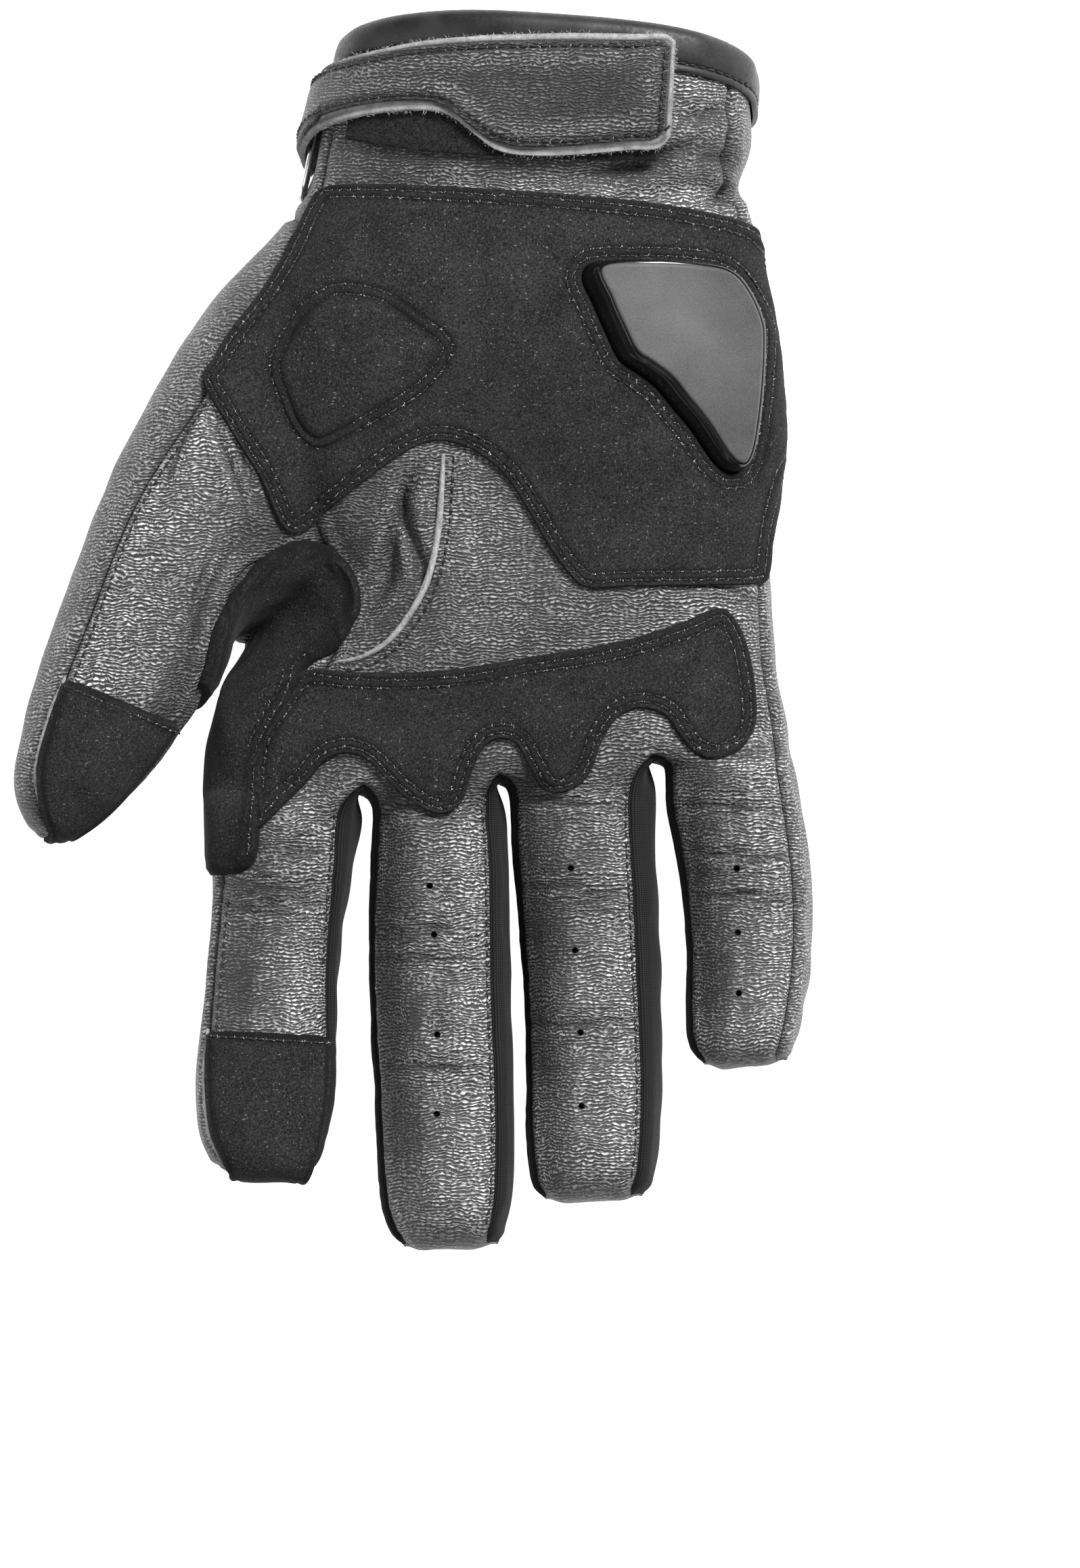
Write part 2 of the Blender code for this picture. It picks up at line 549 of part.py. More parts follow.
def loft(bm, rings, panel_of, tags, tag):
    """Skins between rings that run the same way round; panel_of gives each column's panel."""
    for number, (near, far) in enumerate(zip(rings, rings[1:])):
        count = len(near)
        for k in range(count):
            panel = panel_of(k)
            if panel is None:
                continue
            face = quad(bm, (near[k], near[(k + 1) % count], far[(k + 1) % count], far[k]), panel)
            tags[face] = (tag, number, k)


def cap(bm, ring, columns, panel, tags, tag):
    """Closes the tip of a digit between its front and its back columns."""
    far = columns + SIDE_POINTS + 1
    for k in range(columns):
        face = quad(bm, (ring[k], ring[k + 1], ring[far + columns - k - 1], ring[far + columns - k]), panel)
        tags[face] = (tag, "cap", k)
    for first, last in ((columns, far), (far + columns, len(ring))):
        near = ring[first:last + 1]
        if len(near) < SIDE_POINTS + 2:
            near = near + [ring[0]]
        face = quad(bm, (near[0], near[1], near[3], near[4]), panel)
        tags[face] = (tag, "cap", "side")
        face = quad(bm, near[1:4], panel)
        tags[face] = (tag, "cap", "side")


def build_skin():
    """The closed outer surface, open at the cuff, with a panel number on each face."""
    bm = bmesh.new()
    bm.faces.layers.int.new("tag")
    tags = {}
    rows = [[bm.verts.new(p) for p in palm_ring(k)] for k in range(len(PALM_ROWS))]
    back_from = PALM_COLUMNS + SIDE_POINTS + 1
    back_to = back_from + PALM_COLUMNS

    def palm_panel_of(k):
        return PALM if k < PALM_COLUMNS else BACK

    def panel_beside_thumb(k):
        return None if k >= back_to else palm_panel_of(k)

    loft(bm, rows[:THUMB_TOP_ROW + 1], palm_panel_of, tags, "cuff")
    loft(bm, rows[THUMB_TOP_ROW:THUMB_CROTCH_ROW + 1], panel_beside_thumb, tags, "heel")
    loft(bm, rows[THUMB_CROTCH_ROW:], palm_panel_of, tags, "root")

    # The thumb grows out of the hole left beside the heel.
    top, crotch = rows[THUMB_TOP_ROW], rows[THUMB_CROTCH_ROW]
    heel = rows[THUMB_TOP_ROW:THUMB_CROTCH_ROW + 1]
    first = [row[0] for row in heel]
    first += [crotch[k] for k in range(len(crotch) - 1, back_to, -1)]
    first += [row[back_to] for row in reversed(heel)]
    first += top[back_to + 1:]
    corner = Vector((PALM_ROWS[THUMB_TOP_ROW]["left"] * PALM_WIDTH, top[0].co.y))
    crotch_spot = crotch[0].co.xy
    crease = crotch[back_to].co.xy - crotch_spot
    rings = [first]
    for ring in THUMB_RINGS:
        rings.append([bm.verts.new(p) for p in thumb_ring(ring, corner, crotch_spot, crease)])
    columns = THUMB_CROTCH_ROW - THUMB_TOP_ROW
    loft(bm, rings, lambda k: THUMB_FRONT if k < columns else THUMB_BACK, tags, "thumb")
    cap(bm, rings[-1], columns, THUMB_FRONT, tags, "thumb")

    # Each finger starts from its slot of the root line and the crotch walls beside it.
    last = rows[-1]
    crotch_x = LEFT_EDGE
    walls = [list(reversed(last[back_to + 1:]))]
    for number in range(1, len(FINGERS)):
        front = last[number * FINGER_COLUMNS]
        behind = last[back_to - number * FINGER_COLUMNS]
        walls.append([
            bm.verts.new(front.co.lerp(behind.co, k / (SIDE_POINTS + 1)))
            for k in range(1, SIDE_POINTS + 1)
        ])
    walls.append(last[PALM_COLUMNS + 1:back_from])
    for number, finger in enumerate(FINGERS):
        start, end = number * FINGER_COLUMNS, (number + 1) * FINGER_COLUMNS
        ring0 = last[start:end + 1] + walls[number + 1]
        ring0 += last[back_to - end:back_to - start + 1] + list(reversed(walls[number]))
        slot = finger["slot"] * finger["width"]
        root = Vector((crotch_x + slot / 2, last[start + 2].co.y))
        crotch_x += slot
        rings = [ring0]
        for along in RING_STOPS:
            rings.append([bm.verts.new(p) for p in finger_ring(finger, root, along)])

        def finger_panel_of(k, number=number):
            if k < FINGER_COLUMNS:
                return PALM
            if k <= FINGER_COLUMNS + SIDE_POINTS:
                return BACK if number == len(FINGERS) - 1 else FOURCHETTE + number
            if k <= 2 * FINGER_COLUMNS + SIDE_POINTS:
                return BACK
            return BACK if number == 0 else FOURCHETTE + number - 1

        loft(bm, rings, finger_panel_of, tags, finger["name"])
        cap(bm, rings[-1], FINGER_COLUMNS, PALM, tags, finger["name"])
        finger["root"] = root

    lid = bm.faces.new(rows[0])
    loose = [v for v in bm.verts if not v.link_faces]
    bmesh.ops.delete(bm, geom=loose, context="VERTS")
    bmesh.ops.recalc_face_normals(bm, faces=bm.faces)
    bm.faces.remove(lid)
    bm.normal_update()
    bm.verts.index_update()
    return bm, rows, split_in_triangles(bm, tags)


def split_in_triangles(bm, tags):
    """Cuts every face of the skin the same way for all that follows it; returns the tags."""
    layer = bm.faces.layers.int["tag"]
    kinds = list(tags.values())
    for number, face in enumerate(tags):
        face[layer] = number
    bmesh.ops.triangulate(bm, faces=bm.faces, quad_method="SHORT_EDGE")
    bm.normal_update()
    bm.faces.index_update()
    return {face: kinds[face[layer]] for face in bm.faces}


def face_axis(vertex, faces):
    """The way into a group of faces from a vertex on its border, along the skin."""
    inward = Vector()
    for face in vertex.link_faces:
        if face in faces:
            inward += (face.calc_center_median() - vertex.co).normalized()
    border = [
        edge for edge in vertex.link_edges
        if sum(face in faces for face in edge.link_faces) == 1
    ]
    if len(border) == 2:
        ends = [edge.other_vert(vertex).co for edge in border]
        along = (ends[0] - ends[1]).normalized()
        inward -= along * inward.dot(along)
    return inward.normalized() if inward.length > 0 else inward


def own_normal(vertex, faces):
    """The normal at a vertex of the faces in a group alone."""
    total = Vector()
    for loop in vertex.link_loops:
        if loop.face in faces:
            total += loop.face.normal * loop.calc_angle()
    return total.normalized()


def shell_over(name, faces, low, high, material_name, pull=0.0, rise=None, overlay=True):
    """A closed wall that follows some faces of the skin, from low to high along its
    normals, with its border drawn in by pull. Panels share the skin's normals, so that
    their walls meet in a mitre; an overlay has the normals of its own faces."""
    faces = set(faces)
    bm = bmesh.new()
    lower, upper = {}, {}
    vertices = sorted({v for face in faces for v in face.verts}, key=lambda v: v.index)
    for vertex in vertices:
        on_border = any(face not in faces for face in vertex.link_faces) or any(
            edge.is_boundary for edge in vertex.link_edges
        )
        step = face_axis(vertex, faces) * pull if on_border and pull else Vector()
        normal = own_normal(vertex, faces) if overlay else vertex.normal
        factor = 1.0 if overlay else min(vertex.calc_shell_factor(), 1.3)
        extra = rise(vertex.co) if rise else 0.0
        lower[vertex] = bm.verts.new(vertex.co + step + normal * low * factor)
        upper[vertex] = bm.verts.new(vertex.co + step + normal * (high * factor + extra))
    ordered = sorted(faces, key=lambda face: face.index)
    for face in ordered:
        bm.faces.new([upper[v] for v in face.verts])
        bm.faces.new([lower[v] for v in reversed(face.verts)])
        for loop in face.loops:
            if sum(other in faces for other in loop.edge.link_faces) == 1:
                a, b = loop.vert, loop.link_loop_next.vert
                if a.index < b.index:
                    bm.faces.new((upper[b], upper[a], lower[b]))
                    bm.faces.new((upper[a], lower[a], lower[b]))
                else:
                    bm.faces.new((upper[b], upper[a], lower[a]))
                    bm.faces.new((upper[b], lower[a], lower[b]))
    return new_object(name, bm, material_name)


def smooth_outline(points, steps=2):
    """A closed Catmull-Rom curve through shares of the palm, in metres."""
    spots = [Vector((x * PALM_WIDTH, y * PALM_LENGTH)) for x, y in points]
    made = []
    for k, b in enumerate(spots):
        a, c, d = spots[k - 1], spots[(k + 1) % len(spots)], spots[(k + 2) % len(spots)]
        for step in range(steps):
            u = step / steps
            made.append(
                0.5 * ((2 * b) + (c - a) * u + (2 * a - 5 * b + 4 * c - d) * u**2
                       + (3 * b - a - 3 * c + d) * u**3)
            )
    return made


def grown(outline, distance):
    """An outline moved outwards by a distance, or inwards if that is negative."""
    area = sum(a.cross(b) for a, b in zip(outline, outline[1:] + outline[:1]))
    sign = -1 if area > 0 else 1
    moved = []
    for k, spot in enumerate(outline):
        way = (outline[(k + 1) % len(outline)] - outline[k - 1]).normalized()
        moved.append(spot + Vector((-way.y, way.x)) * distance * sign)
    return moved


def prism(name, outline, low, high, direction=Vector((0, 0, 1)), level=None):
    """A cutter swept along a direction between two heights along it. level gives the
    height of each point of the outline, for a sweep that isn't upright."""
    bm = bmesh.new()
    spots = [Vector((s.x, s.y, level(s) if level else 0.0)) for s in outline]
    ends = [
        [bm.verts.new(spot + direction * (end - spot.dot(direction))) for spot in spots]
        for end in (low, high)
    ]
    bm.faces.new(ends[0])
    bm.faces.new(ends[1])
    for k in range(len(spots)):
        after = (k + 1) % len(spots)
        bm.faces.new((ends[0][k], ends[0][after], ends[1][after], ends[1][k]))
    bmesh.ops.recalc_face_normals(bm, faces=bm.faces)
    return new_object(name, bm, None, helper=True)


def cut(obj, cutter, operation):
    boolean = obj.modifiers.new(operation.lower(), "BOOLEAN")
    boolean.operation = operation
    boolean.solver = "MANIFOLD"
    boolean.object = cutter


def ribbon(points, width):
    """The outline of a strip of even width along an open path, in metres."""
    left, right = [], []
    for k, spot in enumerate(points):
        way = (points[min(k + 1, len(points) - 1)] - points[max(k - 1, 0)]).normalized()
        side = Vector((-way.y, way.x)) * width / 2
        left.append(spot + side)
        right.append(spot - side)
    return left + right[::-1]


def cuff_frame(rows, turn, y):
    """A point of the skin round the cuff, its outward normal and the way to the rim."""
    count = len(rows[0])
    k = math.floor(turn)
    u = turn - k
    line = [row[k % count].co.lerp(row[(k + 1) % count].co, u) for row in rows[:THUMB_TOP_ROW + 1]]
    segment = 0
    for number in range(len(line) - 1):
        if line[number + 1].y <= y:
            segment = number
            break
    upper, lower = line[segment], line[segment + 1]
    spot = lower.lerp(upper, (y - lower.y) / (upper.y - lower.y))
    rim_way = (upper - lower).normalized()
    out = rows[segment][k % count].normal.lerp(rows[segment][(k + 1) % count].normal, u)
    out_low = rows[segment + 1][k % count].normal.lerp(rows[segment + 1][(k + 1) % count].normal, u)
    out = out.lerp(out_low, 0.5)
    return spot, (out - rim_way * out.dot(rim_way)).normalized(), rim_way


def band(name, rows, table, thickness, material_name, across=3):
    """A strip laid round the cuff through the stations of a table."""
    bm = bmesh.new()
    rings = []
    stations = sorted((s["turn"], s["low"], s["high"], s["lift"]) for s in table)
    first, last = stations[0][0], stations[-1][0]
    turns = {first, last, *range(math.ceil(first), math.floor(last) + 1)}
    for turn in sorted(turns):
        low, high, lift = between(stations, turn)
        low_side, high_side = [], []
        for k in range(across + 1):
            share = low + (high - low) * k / across
            spot, out, _ = cuff_frame(rows, turn, share * PALM_LENGTH)
            lift = max(lift, 0.4)
            low_side.append(spot + out * lift * MM)
            high_side.append(spot + out * (lift * MM + thickness))
        rings.append([bm.verts.new(p) for p in low_side + high_side[::-1]])
    for near, far in zip(rings, rings[1:]):
        for k in range(len(near)):
            after = (k + 1) % len(near)
            bm.faces.new((near[k], near[after], far[after], far[k]))
    for ring in (rings[0], rings[-1]):
        for k in range(across):
            bm.faces.new((ring[k], ring[k + 1], ring[-k - 2], ring[-k - 1]))
    bmesh.ops.recalc_face_normals(bm, faces=bm.faces)
    return new_object(name, bm, material_name)


def cuff_binding(rows):
    bm = bmesh.new()
    rings = []
    for k, vertex in enumerate(rows[0]):
        below = rows[1][k]
        rim_way = (vertex.co - below.co).normalized()
        out = (vertex.normal - rim_way * vertex.normal.dot(rim_way)).normalized()
        rings.append([
            bm.verts.new(vertex.co + out * x * MM * scale_of(x) + rim_way * y * BINDING_DROP)
            for x, y in BINDING_SECTION
        ])
    for near, far in zip(rings, rings[1:] + rings[:1]):
        for k in range(len(near)):
            after = (k + 1) % len(near)
            bm.faces.new((near[k], near[after], far[after], far[k]))
    bmesh.ops.recalc_face_normals(bm, faces=bm.faces)
    return new_object("cuff_binding", bm, "smooth_leather")


def scale_of(out):
    """The binding's faces move out with its wall; its seat on the leather stays."""
    return BINDING_WALL / (1.3 * MM) if out > 0.5 or out < -2 else 1.0


def strap_ring(rows):
    curve = bpy.data.curves.new("strap_ring", "CURVE")
    curve.dimensions = "3D"
    curve.bevel_depth = RING_WIRE / 2
    curve.bevel_resolution = 1
    spline = curve.splines.new("POLY")
    spline.points.add(len(STRAP_RING) - 1)
    spline.use_cyclic_u = True
    for point, (turn, share) in zip(spline.points, STRAP_RING):
        spot, out, _ = cuff_frame(rows, turn, share * PALM_LENGTH)
        point.co = (*(spot + out * (SEAT_GAP + RING_WIRE / 2)), 1.0)
    curve.materials.append(material("steel"))
    obj = bpy.data.objects.new("strap_ring", curve)
    bpy.context.scene.collection.objects.link(obj)
    return obj


def vent_cutter():
    """Short rods through the finger fronts where the vents are."""
    bm = bmesh.new()
    for finger in FINGERS:
        for along, step in VENTS.get(finger["name"], []):
            height, _ = between(FINGER_SIDE, along)
            axis = Vector((finger["splay"], -1.0)).normalized()
            across = Vector((-axis.y, axis.x))
            spot = finger["root"] + axis * along * finger["length"] + across * step * finger["width"]
            made = bmesh.ops.create_cone(
                bm, cap_ends=True, segments=6, radius1=VENT_DIAMETER / 2,
                radius2=VENT_DIAMETER / 2, depth=FINGER_DEPTH,
            )
            middle = Vector((spot.x, spot.y, height * FINGER_DEPTH + FINGER_DEPTH * 0.6))
            bmesh.ops.translate(bm, verts=made["verts"], vec=middle)
    return new_object("vent_cutter", bm, None, helper=True)


def faces_tagged(tags, wanted):
    return [face for face, tag in tags.items() if wanted(face, *tag)]


def on_front(face, zone, number, k):
    """The fronts of the palm, the fingers' roots and the thumb, with their side walls."""
    if zone in ("cuff", "heel", "root"):
        return k <= PALM_COLUMNS or k > 2 * PALM_COLUMNS + SIDE_POINTS + 2
    if number == "cap":
        return False
    if zone == "thumb":
        return number < 5 and k < THUMB_CROTCH_ROW - THUMB_TOP_ROW
    if zone == "index":
        return number < 4 and (k < FINGER_COLUMNS or k >= 2 * FINGER_COLUMNS + SIDE_POINTS + 2)
    return number < 1 and k < FINGER_COLUMNS


def on_web(face, zone, number, k):
    """The thumb's inner wall, the valley beside the palm and the index's outer wall."""
    if zone == "root":
        return k < 2 or k > 2 * PALM_COLUMNS + SIDE_POINTS + 1
    if zone == "thumb":
        inner = THUMB_CROTCH_ROW - THUMB_TOP_ROW
        return number != "cap" and number < 5 and inner - 1 <= k < inner + SIDE_POINTS
    if zone == "index":
        return number != "cap" and number < 3 and (
            k < 2 or k > 2 * FINGER_COLUMNS + SIDE_POINTS + 1
        )
    return False


def on_tip(zone_wanted, from_ring, columns, with_side):
    def wanted(face, zone, number, k):
        if zone != zone_wanted:
            return False
        if number == "cap":
            return k != "side"
        return number >= from_ring and k < columns + with_side
    return wanted


def pad_rise(spot):
    away_x = (spot.x - THENAR_PAD["x"] * PALM_WIDTH) / (THENAR_PAD["spread"] * PALM_WIDTH)
    away_y = (spot.y - THENAR_PAD["y"] * PALM_LENGTH) / (THENAR_PAD["spread"] * PALM_WIDTH)
    return PAD_RISE * math.exp(-(away_x**2 + away_y**2) / 2)


def sewn_patches(skin, tags):
    """The suede overlays, the slider and the raw welt, trimmed by their outlines."""
    front = faces_tagged(tags, on_front)
    floor, sky = 9 * MM, 2 * PALM_DEPTH
    low, high = SEAT_GAP, SEAT_GAP + SUEDE
    wrap = EQUATOR * PALM_DEPTH
    tree = BVHTree.FromBMesh(skin)

    def slider_level(spot):
        above = Vector((spot.x, spot.y, sky))
        hit = tree.ray_cast(above, Vector((0, 0, -1)))[0]
        hit = hit or tree.find_nearest(above - Vector((0, 0, sky / 2)))[0]
        return hit.z + SLIDER_HEIGHT * SLIDER_TILT.z

    palm = shell_over("palm_patch", front, low, high, "suede", rise=pad_rise)
    outline = smooth_outline(PALM_PATCH, 1)
    cut(palm, prism("palm_patch_cutter", outline, wrap, sky), "INTERSECT")
    plate_outline = smooth_outline(SLIDER)
    base_outline = grown(plate_outline, 0.6 * MM)
    window = grown(base_outline, SLIDER_CLEARANCE)
    tilted = {"low": 0.0, "high": 3 * PALM_DEPTH, "direction": SLIDER_TILT, "level": slider_level}
    cut(palm, prism("slider_window", window, **tilted), "DIFFERENCE")

    knuckle = shell_over("knuckle_patch", front, low, high, "suede")
    outline = smooth_outline(KNUCKLE_PATCH, 1)
    cut(knuckle, prism("knuckle_patch_cutter", outline, wrap, sky), "INTERSECT")

    above = low + 0.2 * MM
    web = shell_over("web_patch", faces_tagged(tags, on_web), above, above + SUEDE, "suede")
    cut(web, prism("web_patch_cutter", smooth_outline(WEB_PATCH, 1), floor, sky), "INTERSECT")

    base = shell_over("slider_base", front, low, SLIDER_HEIGHT, "gloss_plastic")
    cut(base, prism("slider_cutter", base_outline, **tilted), "INTERSECT")
    plate_low = SLIDER_HEIGHT + SEAT_GAP
    plate = shell_over("slider_plate", front, plate_low, plate_low + SLIDER_PLATE, "satin_plastic")
    cut(plate, prism("slider_plate_cutter", plate_outline, **tilted), "INTERSECT")

    welt = shell_over("seam_welt", front, low, SEAT_GAP + WELT_HEIGHT, "raw_edge")
    path = [Vector((x * PALM_WIDTH, y * PALM_LENGTH)) for x, y in WELT_PATH]
    cut(welt, prism("seam_welt_cutter", ribbon(path, WELT_WIDTH), wrap, sky), "INTERSECT")


def centre_on_floor():
    """Moves everything so that the origin lies under the middle of the whole glove."""
    bpy.context.view_layer.update()
    graph = bpy.context.evaluated_depsgraph_get()
    shown = [obj for obj in bpy.data.objects if not obj.hide_render]
    low, high = Vector((math.inf,) * 3), Vector((-math.inf,) * 3)
    for obj in shown:
        mesh = obj.evaluated_get(graph).to_mesh()
        for vertex in mesh.vertices:
            low = Vector(map(min, low, vertex.co))
            high = Vector(map(max, high, vertex.co))
        obj.evaluated_get(graph).to_mesh_clear()
    shift = Vector((-(low.x + high.x) / 2, -(low.y + high.y) / 2, -low.z))
    for obj in bpy.data.objects:
        obj.location = shift


def main():
    clear_scene()
    skin, rows, tags = build_skin()
    for number, name in enumerate(PANELS):
        faces = [face for face in skin.faces if face.material_index == number]
        knit = name.startswith("fourchette")
        shell_over(
            name, faces, -(KNIT if knit else LEATHER), 0.0,
            "knit" if knit else "grained_leather", pull=KNIT_PULL if knit else SEAM_GAP / 2,
            overlay=False,
        )
    cut(bpy.data.objects["palm_panel"], vent_cutter(), "DIFFERENCE")
    sewn_patches(skin, tags)
    thumb_columns = THUMB_CROTCH_ROW - THUMB_TOP_ROW
    shell_over(
        "thumb_tip_patch", faces_tagged(tags, on_tip("thumb", THUMB_TIP_RING, thumb_columns, 0)),
        SEAT_GAP, SEAT_GAP + SUEDE, "suede", pull=0.1 * MM,
    )
    shell_over(
        "index_tip_patch", faces_tagged(tags, on_tip("index", INDEX_TIP_RING, FINGER_COLUMNS, 1)),
        SEAT_GAP, SEAT_GAP + SUEDE, "suede", pull=0.1 * MM,
    )
    band("loop_patch", rows, LOOP_PATCH, LOOP_THICKNESS, "loop_pile")
    band("wrist_strap", rows, STRAP, STRAP_THICKNESS, "grained_leather")
    cuff_binding(rows)
    strap_ring(rows)
    skin.free()
    centre_on_floor()


main()
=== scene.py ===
# A right-hand motorcycle glove that lies on its back: the looks of every piece, built round
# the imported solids. One fine skin is made through the same sections as the solids, pressed
# in at its seams and creases, and cut into panels; all that is sewn on follows it.
import math
import random

import bmesh
import bpy
import numpy as np
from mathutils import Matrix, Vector, kdtree
from mathutils.bvhtree import BVHTree
from mathutils.geometry import delaunay_2d_cdt


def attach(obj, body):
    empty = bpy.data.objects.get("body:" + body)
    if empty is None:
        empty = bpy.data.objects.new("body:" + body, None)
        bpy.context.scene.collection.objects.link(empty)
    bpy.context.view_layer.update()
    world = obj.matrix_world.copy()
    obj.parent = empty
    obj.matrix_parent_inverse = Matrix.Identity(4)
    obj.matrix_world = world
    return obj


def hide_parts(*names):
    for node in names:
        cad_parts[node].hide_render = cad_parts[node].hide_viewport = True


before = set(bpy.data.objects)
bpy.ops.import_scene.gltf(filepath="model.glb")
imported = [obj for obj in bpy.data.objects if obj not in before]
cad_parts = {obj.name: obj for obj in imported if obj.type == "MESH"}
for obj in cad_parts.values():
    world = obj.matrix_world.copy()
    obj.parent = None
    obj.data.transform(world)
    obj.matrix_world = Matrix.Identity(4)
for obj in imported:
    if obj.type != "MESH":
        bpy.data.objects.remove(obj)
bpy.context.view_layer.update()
draw = random.Random(11)
mm = 0.001
glovePlace = Vector((25.04 * mm, -31.74 * mm, 0.0))  # the palm's own frame in the row frame

# Driving sizes of the hand
fingerDepth = 26.0 * mm
thumbReach = 49.5 * mm
thumbDrop = 124.8 * mm
thumbDepth = 28.0 * mm
palmLength = 145.0 * mm
palmDepth = 44.0 * mm
knuckleRise = 11.6 * mm

ringWire = 1.5 * mm
ringLift = 1.05 * mm

# Roundness of the sections, and points and columns of the coarse skin
sectionPower = 2.5
backPower = 3.2
sidePoints = 3
fingerColumns = 4
palmColumns = 4 * fingerColumns

# Each finger: its share of the palm's root line in its own widths, the sideways
# lean of its axis, and the share of its width that each side wall takes from the
# front leather at the root, in the middle and at the tip.
# edges: along the length, left edge and right edge from the axis, in widths.
fingers = [
    {
        "name": "index", "length": 76.4 * mm, "width": 27.2 * mm,
        "slot": 1.13, "splay": -0.061,
        "leftWall": (0.10, 0.05, 0.13), "rightWall": (0.15, 0.06, 0.04),
        "edges": [
            (0.04, -0.547, 0.556), (0.10, -0.537, 0.532), (0.25, -0.512, 0.488),
            (0.39, -0.505, 0.449), (0.57, -0.525, 0.446), (0.67, -0.542, 0.475),
            (0.78, -0.547, 0.481), (0.88, -0.518, 0.447), (0.96, -0.413, 0.387),
            (1.00, -0.330, 0.350),
        ],
    },
    {
        "name": "middle", "length": 92.1 * mm, "width": 27.4 * mm,
        "slot": 0.99, "splay": 0.031,
        "leftWall": (0.03, 0.0, 0.03), "rightWall": (0.12, 0.12, 0.12),
        "edges": [
            (0.05, -0.448, 0.500), (0.10, -0.454, 0.518), (0.25, -0.481, 0.519),
            (0.42, -0.510, 0.512), (0.56, -0.490, 0.505), (0.68, -0.480, 0.515),
            (0.81, -0.482, 0.500), (0.90, -0.468, 0.475), (0.95, -0.418, 0.429),
            (1.00, -0.345, 0.385),
        ],
    },
    {
        "name": "ring", "length": 85.6 * mm, "width": 27.1 * mm,
        "slot": 1.135, "splay": 0.034,
        "leftWall": (0.03, 0.0, 0.02), "rightWall": (0.17, 0.16, 0.13),
        "edges": [
            (0.04, -0.527, 0.565), (0.13, -0.520, 0.544), (0.22, -0.495, 0.545),
            (0.40, -0.468, 0.543), (0.58, -0.448, 0.541), (0.76, -0.462, 0.527),
            (0.87, -0.467, 0.493), (0.95, -0.441, 0.439), (1.00, -0.385, 0.375),
        ],
    },
    {
        "name": "little", "length": 63.2 * mm, "width": 25.4 * mm,
        "slot": 1.05, "splay": 0.056,
        "leftWall": (0.04, 0.01, 0.02), "rightWall": (0.12, 0.14, 0.14),
        "edges": [
            (0.05, -0.480, 0.538), (0.12, -0.489, 0.560), (0.24, -0.445, 0.592),
            (0.36, -0.400, 0.618), (0.49, -0.375, 0.625), (0.61, -0.368, 0.608),
            (0.73, -0.385, 0.566), (0.86, -0.414, 0.494), (0.94, -0.377, 0.421),
            (1.00, -0.320, 0.370),
        ],
    },
]

# Where the rings of a finger stand along its length
ringStops = (0.05, 0.15, 0.29, 0.46, 0.63, 0.77, 0.89, 0.955, 1.0)

# A finger seen from the side: along, height of its axis and half depth, in finger depths
fingerSide = [
    (0.00, 0.56, 0.55), (0.20, 0.56, 0.52), (0.42, 0.60, 0.49), (0.63, 0.68, 0.46),
    (0.83, 0.80, 0.42), (0.91, 0.86, 0.39), (0.965, 0.90, 0.32), (1.00, 0.92, 0.20),
]

# Rows of the palm from the cuff's rim to the finger roots.
# y: share of the palm's length at the left and the right edge.
# left, right: silhouette, in palm widths from the wrist's axis.
# seams: how far the front seam lies inside the silhouette, left and right.
# backLeft: how far the back seam lies inside the silhouette on the left.
# top, bottom: crown and back, in palm depths. power: roundness of the left side.
# lean: how far the row tips to the cuff for each unit of height.
# web: how far the thumb's web drops the row to the fingers at the back, in lengths.
palmParts = ("y", "left", "right", "seams", "backLeft", "top", "bottom", "power", "lean", "web")
palmRows = [dict(zip(palmParts, row)) for row in (
    ((1.013, 0.976), -0.337, 0.36, (0.02, 0.04), 0.05, 1.06, 0.1, 2.2, 0.33, 0.0),
    ((0.955, 0.932), -0.358, 0.361, (0.02, 0.04), 0.05, 1.045, 0.1, 2.2, 0.24, 0.0),
    ((0.885, 0.877), -0.383, 0.36, (0.02, 0.04), 0.05, 1.01, 0.1, 2.2, 0.1, 0.0),
    ((0.83, 0.826), -0.397, 0.338, (0.02, 0.03), 0.04, 0.96, 0.09, 2.2, 0.02, 0.0),
    ((0.796, 0.796), -0.42, 0.36, (0.019, 0.02), 0.03, 0.97, 0.06, 2.2, 0.0, 0.0),
    ((0.705, 0.705), -0.515, 0.382, (0.09, 0.02), 0.09, 0.99, 0.0, 2.4, 0.0, 0.0),
    ((0.61, 0.61), -0.595, 0.402, (0.16, 0.02), 0.16, 0.98, -0.03, 2.5, 0.0, 0.0),
    ((0.515, 0.515), -0.633, 0.413, (0.203, 0.02), 0.193, 0.95, -0.04, 2.4, 0.0, 0.02),
    ((0.42, 0.42), -0.61, 0.406, (0.205, 0.02), 0.155, 0.91, -0.04, 2.2, 0.0, 0.05),
    ((0.333, 0.333), -0.545, 0.394, (0.178, 0.02), 0.02, 0.86, -0.04, 1.4, 0.0, 0.143),
    ((0.278, 0.278), -0.505, 0.396, (0.19, 0.02), 0.008, 0.83, -0.03, 1.4, 0.0, 0.132),
    ((0.208, 0.208), -0.54, 0.4, (0.203, 0.02), 0.02, 0.79, -0.02, 1.5, 0.0, 0.1),
    ((0.138, 0.138), -0.553, 0.406, (0.155, 0.02), 0.03, 0.75, -0.02, 1.8, 0.0, 0.064),
    ((0.068, 0.068), -0.565, 0.417, (0.103, 0.02), 0.03, 0.72, -0.01, 2.1, 0.0, 0.03),
    ((0.0, 0.0), -0.569, 0.426, (0.073, 0.02), 0.03, 0.68, 0.0, 2.3, 0.0, 0.0),
)]
thumbTopRow = 4
thumbCrotchRow = 9
equator = 0.45

